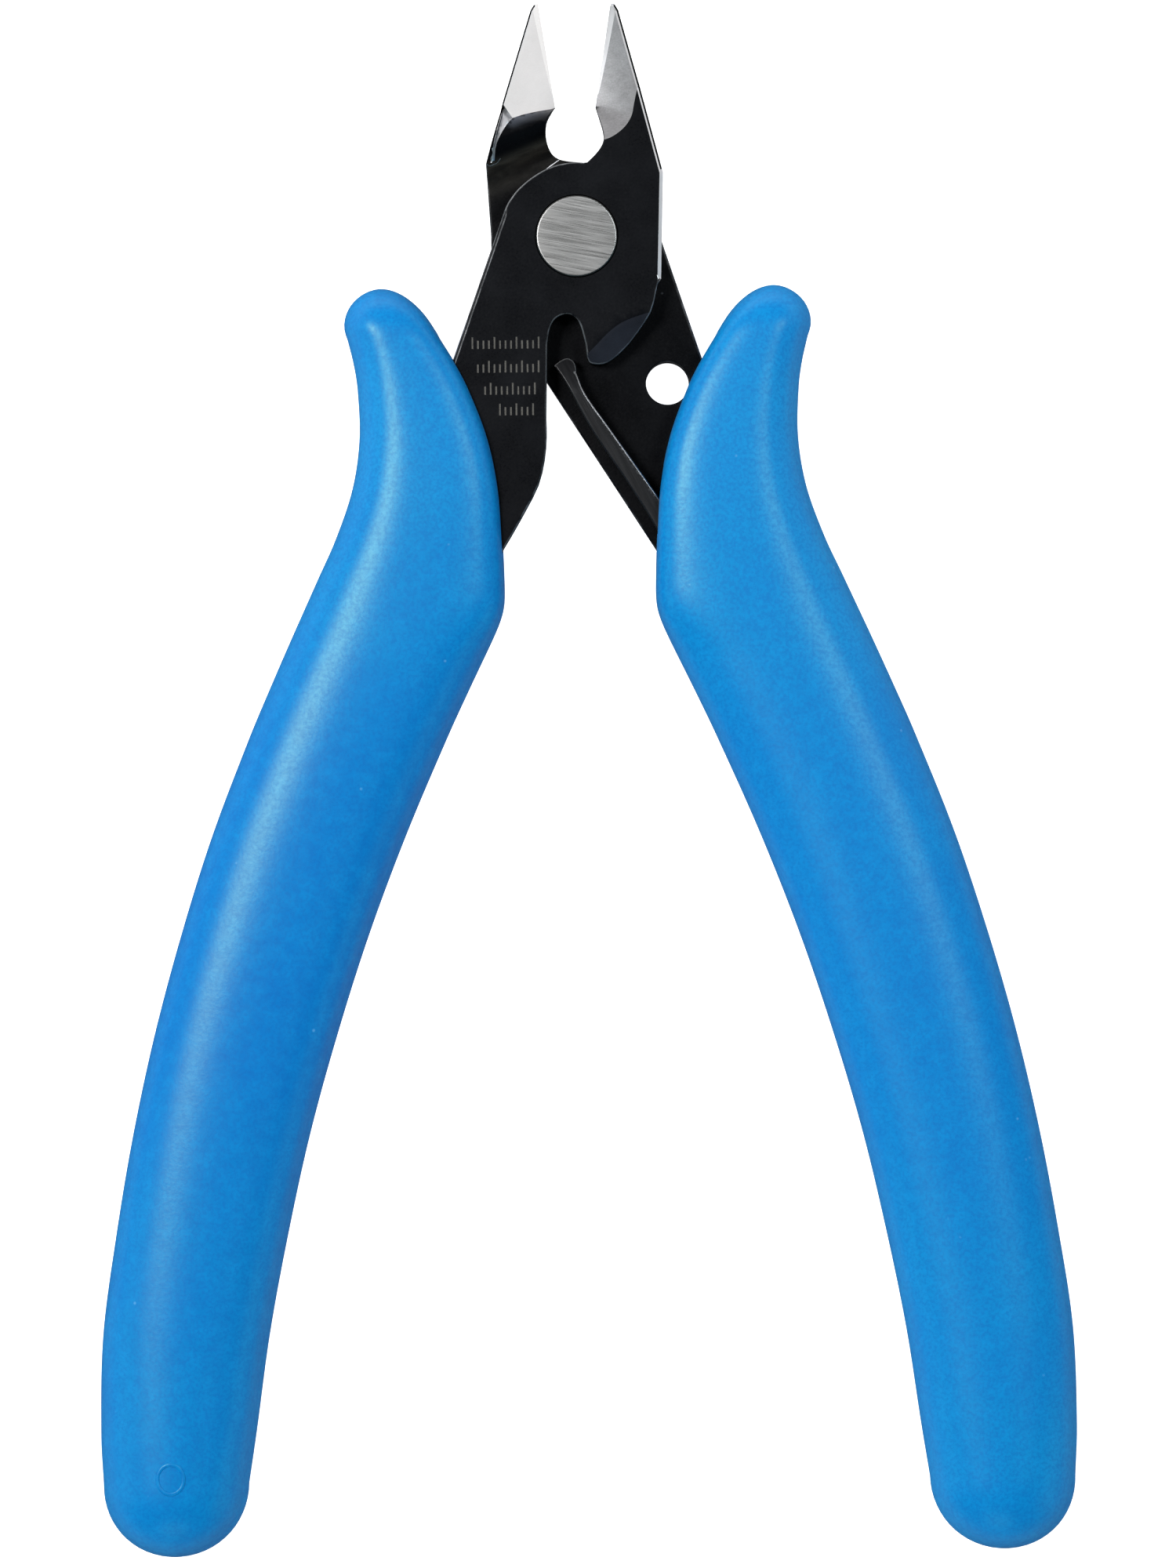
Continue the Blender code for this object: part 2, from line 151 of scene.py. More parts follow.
def inside(P, poly):
    """Even-odd test of points in a closed polygon."""
    poly = np.array(poly, float)
    x, y = P[:, 0], P[:, 1]
    res = np.zeros(len(P), bool)
    j = len(poly) - 1
    for i in range(len(poly)):
        xi, yi = poly[i]
        xj, yj = poly[j]
        if yi != yj:
            c = ((yi > y) != (yj > y)) & (x < (xj - xi) * (y - yi) / (yj - yi) + xi)
            res ^= c
        j = i
    return res


def side_of(P, pts):
    """Signed distance to an open polyline: positive on its left."""
    p = np.array(pts, float)
    A, B = p[:-1], p[1:]
    best = np.full(len(P), 1e9)
    sign = np.ones(len(P))
    for a, b in zip(A, B):
        e = b - a
        t = np.clip(((P - a) @ e) / (e @ e), 0, 1)
        q = P - a - t[:, None] * e
        d = np.hypot(q[:, 0], q[:, 1])
        # a small bias settles ties at shared corners
        cr = e[0] * (P[:, 1] - a[1]) - e[1] * (P[:, 0] - a[0])
        m = d < best - 1e-12
        best[m] = d[m]
        sign[m] = np.where(cr[m] >= 0, 1, -1)
    return best * sign


def sstep(t):
    t = np.clip(t, 0, 1)
    return t * t * (3 - 2 * t)


# -------------------------------------------------------------- plate builder
def build_plate(name, runs, holes, z_top, z_bot, features, grid, face_mat, weights, edge_r, bottom_r, mats,
                painted_sheen=None, painted_ramp_highlight=None, second_line=None):
    """Closed sheet-metal mesh.
    runs: [(points, tag)] joined end to end, counter-clockwise; holes: closed rings;
    z_top, z_bot: surface heights before the edges are rounded; features: polylines kept as mesh edges;
    grid: spacing of inner points at P; face_mat: (centroids, top?) -> material index;
    weights: tag -> how strongly each edge gets the pale wear_and_glint tone (real wear on the plates, a painted
    highlight on the spring); edge_r, bottom_r: tag -> edge radius;
    second_line: tag -> wear of the inner border of a bevelled edge."""
    second_line = second_line or {}
    outline, tags = [], []
    for pts, tag in runs:
        outline += list(pts[:-1])
        tags += [tag] * (len(pts) - 1)
    loops = [(outline, tags)] + [(ring, [tag] * len(ring)) for ring, tag in holes]
    coords, edges = [], []
    loop_index = []
    for ring, _t in loops:
        base = len(coords)
        coords += list(ring)
        n = len(ring)
        edges += [(base + k, base + (k + 1) % n) for k in range(n)]
        loop_index.append(range(base, base + n))
    # offset rings, for the rounding
    for li, (ring, t) in enumerate(loops):
        p = np.array(ring, float)
        prev, nxt = np.roll(p, 1, 0), np.roll(p, -1, 0)
        a, b = p - prev, nxt - p
        na = np.stack([-a[:, 1], a[:, 0]], 1) / np.maximum(np.linalg.norm(a, axis=1), 1e-9)[:, None]
        nb = np.stack([-b[:, 1], b[:, 0]], 1) / np.maximum(np.linalg.norm(b, axis=1), 1e-9)[:, None]
        area = 0.5 * (p[:, 0] * nxt[:, 1] - nxt[:, 0] * p[:, 1]).sum()
        want = 1.0 if li == 0 else -1.0
        s = 1.0 if area > 0 else -1.0
        nn = (na + nb) * s * want
        nn /= np.maximum(np.linalg.norm(nn, axis=1), 1e-9)[:, None]
        dot = np.maximum(0.55, np.abs((nn * (na * s * want)).sum(1)))
        r = np.array([max(edge_r.get(x, 0.0), 0.0) for x in t])
        r = np.minimum(r, np.roll(r, 1))
        for share in (0.12, 0.3, 0.55, 0.8, 1.0, 1.25) if set(t) & set(second_line) else (0.12, 0.3, 0.55, 0.8, 1.0):
            q = p + nn * (r * share / dot)[:, None]
            keep = r > 0.02
            base = len(coords)
            idx = {}
            for k in range(len(q)):
                if keep[k]:
                    idx[k] = len(coords)
                    coords.append(tuple(q[k]))
            for k in range(len(q)):
                k2 = (k + 1) % len(q)
                if k in idx and k2 in idx:
                    edges.append((idx[k], idx[k2]))
    for line in features:
        base = len(coords)
        coords += list(line)
        edges += [(base + k, base + k + 1) for k in range(len(line) - 1)]
    fixed = np.array(coords, float)
    E = np.array(edges)
    lo, hi = fixed.min(0), fixed.max(0)
    pts = []
    step = 0.20
    rng = np.random.default_rng(7)
    gx, gy = np.meshgrid(np.arange(lo[0], hi[0], step), np.arange(lo[1], hi[1], step))
    G = np.stack([gx.ravel(), gy.ravel()], 1)
    G = G + rng.uniform(-0.18, 0.18, G.shape) * step
    G = G[inside(G, outline)]
    want = grid(G)
    # thin the grid where a coarse one is enough: keep a point with probability step^2 / want^2
    G = G[rng.uniform(0, 1, len(G)) < (step / want) ** 2]
    want = grid(G)
    d = seg_distance(G, fixed[E[:, 0]], fixed[E[:, 1]])
    G = G[d > 0.35 * np.minimum(want, 0.5)]
    verts = [Vector(c) for c in fixed] + [Vector(g) for g in G]
    V, _e, F, _ov, _oe, _of = geometry.delaunay_2d_cdt(verts, [tuple(int(i) for i in e) for e in E], [], 0, 1e-5)
    P = np.array([(v.x, v.y) for v in V], float)
    F = np.array([f for f in F if len(f) == 3], int)
    C = P[F].mean(1)
    ok = inside(C, outline)
    for ring, _t in holes:
        ok &= ~inside(C, ring)
    F, C = F[ok], C[ok]
    a, b, c = P[F[:, 0]], P[F[:, 1]], P[F[:, 2]]
    area = 0.5 * ((b[:, 0] - a[:, 0]) * (c[:, 1] - a[:, 1]) - (c[:, 0] - a[:, 0]) * (b[:, 1] - a[:, 1]))
    flip = area < 0
    F[flip] = F[flip][:, ::-1]
    F, C = F[np.abs(area) > 1e-9], C[np.abs(area) > 1e-9]

    # heights
    zt, zb = z_top(P), z_bot(P)
    wear_and_glint = np.zeros(len(P))
    dt, db = np.zeros(len(P)), np.zeros(len(P))
    allA, allB, allT = [], [], []
    for ring, t in loops:
        p = np.array(ring, float)
        allA.append(p)
        allB.append(np.roll(p, -1, 0))
        allT += list(t)
    allA, allB, allT = np.vstack(allA), np.vstack(allB), np.array(allT)
    for tag in sorted(set(allT)):
        m = allT == tag
        d = seg_distance(P, allA[m], allB[m])
        r = edge_r.get(tag, 0.0)
        if r > 0:
            if tag.startswith("cham"):
                dt = np.maximum(dt, np.maximum(0, (r - d)) * 0.72)
            else:
                u = np.clip(d, 0, r)
                dt = np.maximum(dt, r - np.sqrt(np.maximum(0, r * r - (r - u) ** 2)))
            if tag in second_line:
                wear_and_glint = np.maximum(wear_and_glint, weights.get(tag, 0.0) * np.clip(1.1 - 2.2 * d / r, 0, 1))
                wear_and_glint = np.maximum(wear_and_glint, second_line[tag] * np.clip(1.0 - np.abs(d / r - 1.0) / 0.22, 0, 1))
            else:
                wear_and_glint = np.maximum(wear_and_glint, weights.get(tag, 0.0) * np.clip(1.15 - d / r, 0, 1))
        r = bottom_r.get(tag, 0.0)
        if r > 0:
            u = np.clip(d, 0, r)
            db = np.maximum(db, r - np.sqrt(np.maximum(0, r * r - (r - u) ** 2)))
    thick = zt - zb
    dt = np.minimum(dt, 0.45 * thick)
    db = np.minimum(db, 0.45 * thick)
    zt, zb = zt - dt, zb + db

    # mesh: the two faces share the plan, and walls join their boundaries
    used = np.unique(F)
    remap = -np.ones(len(P), int)
    remap[used] = np.arange(len(used))
    n = len(used)
    top = [world(P[i, 0], P[i, 1], zt[i]) for i in used]
    bot = [world(P[i, 0], P[i, 1], zb[i]) for i in used]
    Ft = remap[F]
    faces = [tuple(f) for f in Ft] + [tuple(int(i) + n for i in f[::-1]) for f in Ft]
    mat_i = list(face_mat(C, True)) + list(face_mat(C, False))
    count = {}
    for f in Ft:
        for k in range(3):
            e = (int(f[k]), int(f[(k + 1) % 3]))
            count[e] = 1
    wall = [e for e in count if (e[1], e[0]) not in count]
    inv = used
    # a narrow band under the edge keeps the wear on the corner, off the rest of the wall
    rim = {}
    for i in sorted({k for e in wall for k in e}):
        q = inv[i]
        rim[i] = 2 * n + len(rim)
        bot.append(world(P[q, 0], P[q, 1], zt[q] - min(0.07, 0.4 * (zt[q] - zb[q]))))
    for i, j in wall:
        faces.append((j, i, rim[i], rim[j]))
    for i, j in wall:
        faces.append((rim[j], rim[i], i + n, j + n))
    if wall:
        W = 0.5 * (P[[inv[i] for i, j in wall]] + P[[inv[j] for i, j in wall]])
        mat_i += list(face_mat(W, None)) * 2
    me = bpy.data.meshes.new(name)
    me.from_pydata(top + bot, [], [tuple(int(i) for i in f) for f in faces])
    me.update()
    for m in mats:
        me.materials.append(m)
    me.polygons.foreach_set("material_index", np.array(mat_i, np.int32))
    for label, val in (("wear_and_glint", wear_and_glint), ("painted_sheen", painted_sheen(P) if painted_sheen else 0 * wear_and_glint), ("painted_ramp_highlight", painted_ramp_highlight(P) if painted_ramp_highlight else 0 * wear_and_glint)):
        w = me.attributes.new(label, "FLOAT", "POINT")
        w.data.foreach_set("value", np.concatenate([val[used], 0 * val[used], np.zeros(len(rim))]).astype(np.float32))
    me.shade_smooth()
    me.set_sharp_from_angle(angle=math.radians(28))
    ob = bpy.data.objects.new(name, me)
    scene.collection.objects.link(ob)
    return ob


# ------------------------------------------------------------------ materials
class Mat:
    """Small helper for procedural node materials."""

    def __init__(self, name):
        self.m = bpy.data.materials.new(name)
        self.m.use_nodes = True
        self.t = self.m.node_tree
        self.b = self.t.nodes["Principled BSDF"]
        self.coord = self.t.nodes.new("ShaderNodeTexCoord")

    def node(self, kind, **props):
        n = self.t.nodes.new(kind)
        for k, v in props.items():
            setattr(n, k, v)
        return n

    def link(self, a, b):
        self.t.links.new(a, b)

    def put(self, **vals):
        for k, v in vals.items():
            self.b.inputs[k.replace("_", " ")].default_value = v

    def mapping(self, scale=(1, 1, 1), rot=(0, 0, 0), src=None):
        turn = self.node("ShaderNodeMapping")
        turn.inputs["Rotation"].default_value = rot
        self.link(src or self.coord.outputs["Object"], turn.inputs["Vector"])
        n = self.node("ShaderNodeMapping")
        n.inputs["Scale"].default_value = scale
        self.link(turn.outputs["Vector"], n.inputs["Vector"])
        return n.outputs["Vector"]

    def noise(self, vec, scale, detail=4.0, rough=0.55, distortion=0.0):
        n = self.node("ShaderNodeTexNoise")
        n.inputs["Scale"].default_value = scale
        n.inputs["Detail"].default_value = detail
        n.inputs["Roughness"].default_value = rough
        n.inputs["Distortion"].default_value = distortion
        self.link(vec, n.inputs["Vector"])
        return n.outputs["Fac"]

    def range(self, v, a, b, c=0.0, d=1.0):
        n = self.node("ShaderNodeMapRange")
        for k, val in zip(("From Min", "From Max", "To Min", "To Max"), (a, b, c, d)):
            n.inputs[k].default_value = val
        self.link(v, n.inputs["Value"])
        return n.outputs["Result"]

    def math(self, op, a, b=None):
        n = self.node("ShaderNodeMath", operation=op)
        for i, v in enumerate((a, b)):
            if v is None:
                continue
            if isinstance(v, (int, float)):
                n.inputs[i].default_value = v
            else:
                self.link(v, n.inputs[i])
        return n.outputs[0]

    def mix(self, fac, c1, c2, mode="MIX"):
        n = self.node("ShaderNodeMix", data_type="RGBA", blend_type=mode)
        ins = [s for s in n.inputs if s.enabled]
        f, a, b = ins[0], ins[1], ins[2]
        for s, v in ((f, fac), (a, c1), (b, c2)):
            if isinstance(v, (int, float)):
                s.default_value = v
            elif isinstance(v, tuple):
                s.default_value = (*v, 1.0)
            else:
                self.link(v, s)
        return [s for s in n.outputs if s.enabled][0]

    def bump(self, height, distance, strength=1.0, normal=None):
        n = self.node("ShaderNodeBump")
        n.inputs["Distance"].default_value = distance
        n.inputs["Strength"].default_value = strength
        self.link(height, n.inputs["Height"])
        if normal is not None:
            self.link(normal, n.inputs["Normal"])
        return n.outputs["Normal"]


def black_oxide(name, k, gloss=0.08):
    m = Mat(name)
    m.put(IOR=1.5, Specular_IOR_Level=gloss)
    obj = m.coord.outputs["Object"]
    cloud = m.noise(obj, 260.0, 3.0)
    fine = m.noise(obj, 5200.0, 4.0, 0.6)
    brush = m.noise(m.mapping((700, 9000, 900), (0, 0, math.radians(-38))), 1.0, 3.0, 0.6)
    base = m.mix(m.range(cloud, 0.3, 0.7), (0.0013 * k, 0.0014 * k, 0.0019 * k), (0.0020 * k, 0.0022 * k, 0.0030 * k))
    base = m.mix(m.range(fine, 0.64, 0.86, 0.0, 0.45), base, (0.012, 0.013, 0.016))
    # painted sheen: a bluish reflection painted into the base colour on the shoulder under the ground face, broken up
    # by streaky noise
    painted_light_drift = m.noise(m.mapping((300, 1500, 900), (0, 0, math.radians(-22))), 1.0, 4.0, 0.6)
    sheen_attr = m.node("ShaderNodeAttribute", attribute_name="painted_sheen").outputs["Fac"]
    base = m.mix(m.math("MULTIPLY", sheen_attr, m.range(painted_light_drift, 0.3, 0.7, 0.7, 1.0)), base, (0.105, 0.114, 0.138))
    # painted highlight: a lighter band painted into the base colour across the joggle's ramp
    ramp_highlight_attr = m.node("ShaderNodeAttribute", attribute_name="painted_ramp_highlight").outputs["Fac"]
    base = m.mix(m.math("MULTIPLY", ramp_highlight_attr, m.range(painted_light_drift, 0.35, 0.65, 0.35, 1.0)), base, (0.040, 0.0365, 0.031))
    pits = m.node("ShaderNodeTexVoronoi", feature="F1")
    pits.inputs["Scale"].default_value = 420.0
    m.link(obj, pits.inputs["Vector"])
    nick = m.math("MULTIPLY", m.range(pits.outputs["Distance"], 0.050, 0.028),
                  m.range(m.noise(obj, 330.0, 2.0), 0.585, 0.60))
    base = m.mix(m.math("MULTIPLY", nick, 0.75), base, (0.055, 0.055, 0.058))
    wear_and_glint = m.node("ShaderNodeAttribute", attribute_name="wear_and_glint").outputs["Fac"]
    streak = m.noise(m.mapping((1, 1, 1)), 620.0, 5.0, 0.65)
    wear_and_glint_mask = m.math("MULTIPLY", wear_and_glint, m.range(streak, 0.32, 0.62, 0.25, 1.0))
    wear_and_glint_mask = m.range(wear_and_glint_mask, 0.12, 0.85, 0.0, 1.0)
    col = m.mix(wear_and_glint_mask, base, (0.36, 0.365, 0.38))
    m.link(col, m.b.inputs["Base Color"])
    m.link(wear_and_glint_mask, m.b.inputs["Metallic"])
    rough = m.math("ADD", m.range(fine, 0.3, 0.7, 0.26, 0.36), m.range(cloud, 0.3, 0.7, -0.03, 0.04))
    m.link(rough, m.b.inputs["Roughness"])
    h = m.math("ADD", m.math("MULTIPLY", fine, 0.6), m.math("MULTIPLY", brush, 0.5))
    m.link(m.bump(h, 0.000012, 0.8), m.b.inputs["Normal"])
    return m.m


def ground_steel(name, tone, angle, rough=0.30, line=0.5, bump=0.000006, grit=1.0):
    m = Mat(name)
    m.put(Metallic=1.0)
    a = math.radians(angle)
    fine = m.noise(m.mapping((260, 9500 * grit, 9500 * grit), (0, 0, -a)), 1.0, 4.0, 0.62)
    broad = m.noise(m.mapping((90, 1500 * grit, 1500 * grit), (0, 0, -a)), 1.0, 3.0, 0.55)
    cloud = m.noise(m.coord.outputs["Object"], 420.0, 3.0)
    t = m.math("ADD", m.math("MULTIPLY", fine, 0.65), m.math("MULTIPLY", broad, 0.35))
    lo = tuple(c * (1 - 0.30 * line) for c in tone)
    hi = tuple(min(1.0, c * (1 + 0.22 * line)) for c in tone)
    col = m.mix(m.range(t, 0.35, 0.65), lo, hi)
    col = m.mix(m.range(cloud, 0.35, 0.75, 0.0, 0.25), col, tuple(c * 0.8 for c in tone))
    m.link(col, m.b.inputs["Base Color"])
    m.link(m.range(fine, 0.3, 0.7, rough - 0.05, rough + 0.08), m.b.inputs["Roughness"])
    m.link(m.bump(t, bump, 0.7), m.b.inputs["Normal"])
    return m.m


def etched():
    m = Mat("etched_steel")
    m.put(Metallic=0.3)
    n = m.noise(m.coord.outputs["Object"], 9000.0, 3.0)
    m.link(m.mix(m.range(n, 0.3, 0.7), (0.045, 0.041, 0.036), (0.115, 0.105, 0.092)), m.b.inputs["Base Color"])
    m.link(m.range(n, 0.3, 0.7, 0.6, 0.75), m.b.inputs["Roughness"])
    m.link(m.bump(n, 0.00001, 0.6), m.b.inputs["Normal"])
    return m.m


def spring_wire():
    m = Mat("spring_steel")
    m.put(Specular_IOR_Level=0.2)
    along = m.noise(m.mapping((7000, 260, 3000), (0, 0, math.radians(-28))), 1.0, 4.0, 0.6)
    fine = m.noise(m.coord.outputs["Object"], 6000.0, 3.0)
    base = m.mix(m.range(along, 0.3, 0.7), (0.0050, 0.0050, 0.0058), (0.0095, 0.0095, 0.0108))
    # painted highlight: on the spring this attribute paints its right edge and head pale, standing in for light on
    # them
    wear_and_glint = m.node("ShaderNodeAttribute", attribute_name="wear_and_glint").outputs["Fac"]
    wear_and_glint_mask = m.range(m.math("MULTIPLY", wear_and_glint, m.range(fine, 0.3, 0.6, 0.5, 1.0)), 0.25, 0.9, 0.0, 1.0)
    m.link(m.mix(wear_and_glint_mask, base, (0.33, 0.33, 0.34)), m.b.inputs["Base Color"])
    m.link(wear_and_glint_mask, m.b.inputs["Metallic"])
    m.link(m.range(along, 0.3, 0.7, 0.30, 0.42), m.b.inputs["Roughness"])
    m.link(m.bump(along, 0.00001, 0.7), m.b.inputs["Normal"])
    return m.m


def blue_pvc():
    m = Mat("blue_pvc")
    m.put(Metallic=0.0, IOR=1.5, Specular_IOR_Level=0.42)
    m.b.inputs["Specular Tint"].default_value = (0.42, 0.66, 0.28, 1.0)
    obj = m.coord.outputs["Object"]
    mottle = m.noise(obj, 900.0, 5.0, 0.6)
    grain = m.noise(obj, 3600.0, 4.0, 0.62)
    cloud = m.noise(obj, 140.0, 3.0, 0.5)
    # painted light and shade along the handle: the colour is painted paler at the horn and deeper in the middle
    sep = m.node("ShaderNodeSeparateXYZ")
    m.link(obj, sep.inputs[0])
    painted_light_drift = m.node("ShaderNodeValToRGB")
    stops = [(0.0, (0.0010, 0.208, 0.510)), (0.24, (0.0008, 0.194, 0.505)), (0.42, (0.0005, 0.170, 0.500)),
             (0.61, (0.0005, 0.178, 0.505)), (0.76, (0.0020, 0.214, 0.525)), (0.885, (0.0050, 0.226, 0.540)),
             (1.0, (0.0040, 0.210, 0.530))]
    ramp_el = painted_light_drift.color_ramp.elements
    while len(ramp_el) < len(stops):
        ramp_el.new(0.5)
    for e, (pos, c) in zip(ramp_el, stops):
        e.position, e.color = pos, (*c, 1.0)
    painted_light_drift.color_ramp.interpolation = "EASE"
    m.link(m.range(sep.outputs["Y"], -0.0621, 0.0393), painted_light_drift.inputs["Fac"])
    # painted light: the right sleeve is painted a paler blue, standing in for the stronger light falling on it
    col = m.mix(m.range(sep.outputs["X"], -0.003, 0.003, 0.0, 0.22), painted_light_drift.outputs["Color"], (0.0030, 0.290, 0.640))
    col = m.mix(m.range(mottle, 0.38, 0.64, 0.0, 0.36), col, (0.0030, 0.280, 0.640))
    col = m.mix(m.range(grain, 0.40, 0.62, 0.0, 0.46), col, (0.0004, 0.105, 0.400))
    col = m.mix(m.range(cloud, 0.35, 0.7, 0.0, 0.20), col, (0.0006, 0.130, 0.480))
    speck = m.node("ShaderNodeTexVoronoi", feature="F1")
    speck.inputs["Scale"].default_value = 620.0
    speck.inputs["Randomness"].default_value = 1.0
    m.link(obj, speck.inputs["Vector"])
    pale = m.math("MULTIPLY", m.range(speck.outputs["Distance"], 0.10, 0.04),
                  m.range(m.noise(obj, 430.0, 2.0), 0.60, 0.66))
    col = m.mix(m.math("MULTIPLY", pale, 0.55), col, (0.12, 0.36, 0.66))
    m.link(col, m.b.inputs["Base Color"])
    m.link(m.range(grain, 0.3, 0.7, 0.32, 0.38), m.b.inputs["Roughness"])
    h = m.math("ADD", m.math("MULTIPLY", grain, 0.5), m.math("MULTIPLY", mottle, 0.7))
    m.link(m.bump(h, 0.000014, 0.8), m.b.inputs["Normal"])
    return m.m


OXIDE = black_oxide("black_oxide_front", 1.8, 0.095)
OXIDE_REAR = black_oxide("black_oxide_rear", 1.1, 0.075)
# the coined heel facet is a real finish, but its base is painted paler than the plate's oxide: a painted highlight on
# the facet
COIN_PAINTED_HIGHLIGHT = black_oxide("black_oxide_coined_painted_highlight", 8.0, 0.12)
# the same ground steel on both jaws, painted as a lit copy on the left and a shaded copy on the right: the left bevel
# and honed edge carry painted light, the right ones painted shade
BLADE_R_PAINTED_SHADE = ground_steel("ground_bevel_right_painted_shade", (0.308, 0.303, 0.310), -14.0, 0.44, 0.8)
BLADE_L_PAINTED_LIGHT = ground_steel("ground_bevel_left_painted_light", (0.86, 0.85, 0.85), 12.0, 0.36, 0.12, 0.000002)
HONED_L_PAINTED_LIGHT = ground_steel("honed_edge_left_painted_light", (0.96, 0.96, 0.96), 80.0, 0.30, 0.1, 0.000002)
HONED_R_PAINTED_SHADE = ground_steel("honed_edge_right_painted_shade", (0.62, 0.61, 0.62), 82.0, 0.40, 0.3, 0.000002)
FACET = ground_steel("ground_facet", (0.42, 0.42, 0.435), 60.0, 0.44, 0.3, 0.000002)
CHAMFER = ground_steel("ground_chamfer", (0.80, 0.80, 0.82), 96.0, 0.40, 0.4, 0.000003)
FACET_GREY = ground_steel("ground_facet_grey", (0.53, 0.53, 0.55), 73.0, 0.44, 0.5, 0.000003)
RIM = ground_steel("rivet_rim", (0.075, 0.075, 0.074), 0.0, 0.45, 0.2)
FLUSH = ground_steel("ground_flush_face", (0.62, 0.62, 0.63), 4.0, 0.28, 0.6)
RIVET = ground_steel("brushed_rivet", (0.435, 0.430, 0.423), -11.0, 0.28, 0.22, grit=1.5)
ETCH = etched()
WIRE = spring_wire()
PVC = blue_pvc()

# ------------------------------------------------------------------- outlines
TANG = smooth([(-12.3, -27.0), (-15.3, -33.0), (-18.9, -41.0), (-22.3, -49.0), (-25.1, -57.0),
               (-27.6, -65.5), (-29.7, -74.0), (-31.3, -83.0), (-32.2, -92.0)], per=3)


def tang_side(sign):
    c = [np.array(p) for p in TANG]
    out = []
    for i, p in enumerate(c):
        t = c[min(i + 1, len(c) - 1)] - c[max(i - 1, 0)]
        t /= np.linalg.norm(t)
        half = 3.2 - 0.8 * i / (len(c) - 1) + 1.5 * math.exp(-(i / 2.2) ** 2)
        out.append(tuple(p + sign * half * np.array([-t[1], t[0]])))
    return out


TANG_OUT, TANG_IN = tang_side(-1.0), tang_side(1.0)
SHOULDER = [(-5.76, 2.00), (-10.00, -9.85), (-12.20, -15.50), (-13.60, -20.50)]
FRONT_INNER = [(-6.60, -25.80), (-5.43, -23.80), (-4.28, -21.80), (-3.25, -19.80), (-2.73, -17.80),
               (-2.55, -15.90), (-2.57, -14.50), (-2.44, -8.50)]
NOTCH = smooth([(-2.44, -8.50), (-2.22, -7.35), (-1.75, -6.55), (-0.90, -6.20), (-0.20, -6.45),
                (0.22, -7.10), (0.63, -8.60)], per=6)
HEEL = smooth([(0.75, -9.70), (1.10, -10.15), (2.37, -10.05), (3.96, -8.72), (5.55, -6.62), (6.02, -5.60),
               (6.24, -4.70), (6.42, -3.90)], per=6)
ROOT, TIP = polar(EDGE_R0, HALF_ANGLE), polar(EDGE_R1, HALF_ANGLE)
MOUTH_R = smooth([ROOT, (1.93, 9.40), (2.18, 8.50), (2.23, 7.72), (2.04, 7.14), (1.58, 6.52), (0.90, 5.86)], per=5)
MOUTH_L = smooth([mirror([ROOT])[0], (-1.85, 10.12), (-2.28, 9.30), (-2.39, 8.45), (-2.28, 7.56), (-1.95, 6.85),
                  (-1.50, 6.45), (-1.05, 6.28), (-0.50, 6.19), (0.20, 6.12), (0.58, 6.04), (0.78, 5.90)], per=5)
n_r = np.array([math.cos(math.radians(HALF_ANGLE)), -math.sin(math.radians(HALF_ANGLE))])   # out of the right edge
t_r = np.array([math.sin(math.radians(HALF_ANGLE)), math.cos(math.radians(HALF_ANGLE))])    # root to tip
n_l, t_l = np.array([-n_r[0], n_r[1]]), np.array([-t_r[0], t_r[1]])
EDGE_LEN = EDGE_R1 - EDGE_R0


# Ground bevel: it rises from the cutting edge to the plate's face (2.48 mm up) over a reach that changes a
# little along the edge and round its root, where the wheel runs out.
RISE = PLATE_T - 0.02


def ground(P, root, t, n, along, fan, land=0.02):
    d = P - np.array(root)
    a, u = d @ t, d @ n
    reach = np.interp(a, [r[0] for r in along], [r[1] for r in along])
    r = np.hypot(a, u)
    ang = np.degrees(np.arctan2(-a, u))
    reach_f = np.interp(ang, [q[0] for q in fan], [q[1] for q in fan])
    q = np.where(a >= 0, u, r)
    R = np.where(a >= 0, reach, reach_f)
    return LAP + land + RISE * q / R


ALONG_R = [(k * 0.25, 3.02 + 0.24 * float(sstep(k / 16))) for k in range(17)] + [(8.5, 3.26)]
FAN_R = [(k * 4.0, 3.02 - 0.16 * float(sstep(k / 12))) for k in range(19)] + [(90.0, 2.86)]
ALONG_L = [(0.0, 3.90), (8.5, 3.86)]
FAN_L = [(0.0, 3.90), (90.0, 4.0)]


def runout(root, t, n, along, fan):
    """Where the right bevel meets the plate's face."""
    pts = []
    for a in np.linspace(2.6, 0.0, 12):
        pts.append(tuple(np.array(root) + t * a + n * float(np.interp(a, [r[0] for r in along], [r[1] for r in along]))))
    for g in np.linspace(4, 74, 18):
        c, si = math.cos(math.radians(g)), math.sin(math.radians(g))
        pts.append(tuple(np.array(root) + (n * c - t * si) * float(np.interp(g, [q[0] for q in fan], [q[1] for q in fan]))))
    return pts


RUN_R = runout(ROOT, t_r, n_r, ALONG_R, FAN_R)


def hone_width(a):
    return 0.02 + 0.50 * np.clip((a - 0.8) / (EDGE_LEN - 0.8), 0, 1) ** 0.65


def hone_line(root, t, n):
    return [tuple(np.array(root) + t * a + n * float(hone_width(a))) for a in np.linspace(0.9, EDGE_LEN - 0.15, 28)]


def hone(P, z, root, t, n):
    """The honed edge is a second, steeper bevel: it lifts the main one by a little."""
    d = P - np.array(root)
    a, u = d @ t, d @ n
    w = hone_width(a)
    k = 0.035
    lift = k * np.minimum(np.maximum(u, 0), w)
    full = k * w
    fade = np.clip(1.0 - (np.maximum(u, 0) - w) / 1.5, 0, 1)
    return z + np.where(u <= w, lift, full * fade)


# ---------------------------------------------------------------- front plate
FACET_LINE = smooth([(0.72, -9.45), (1.45, -8.74), (2.63, -7.57), (3.82, -6.80), (5.79, -6.13), (6.6, -6.0)], per=4)


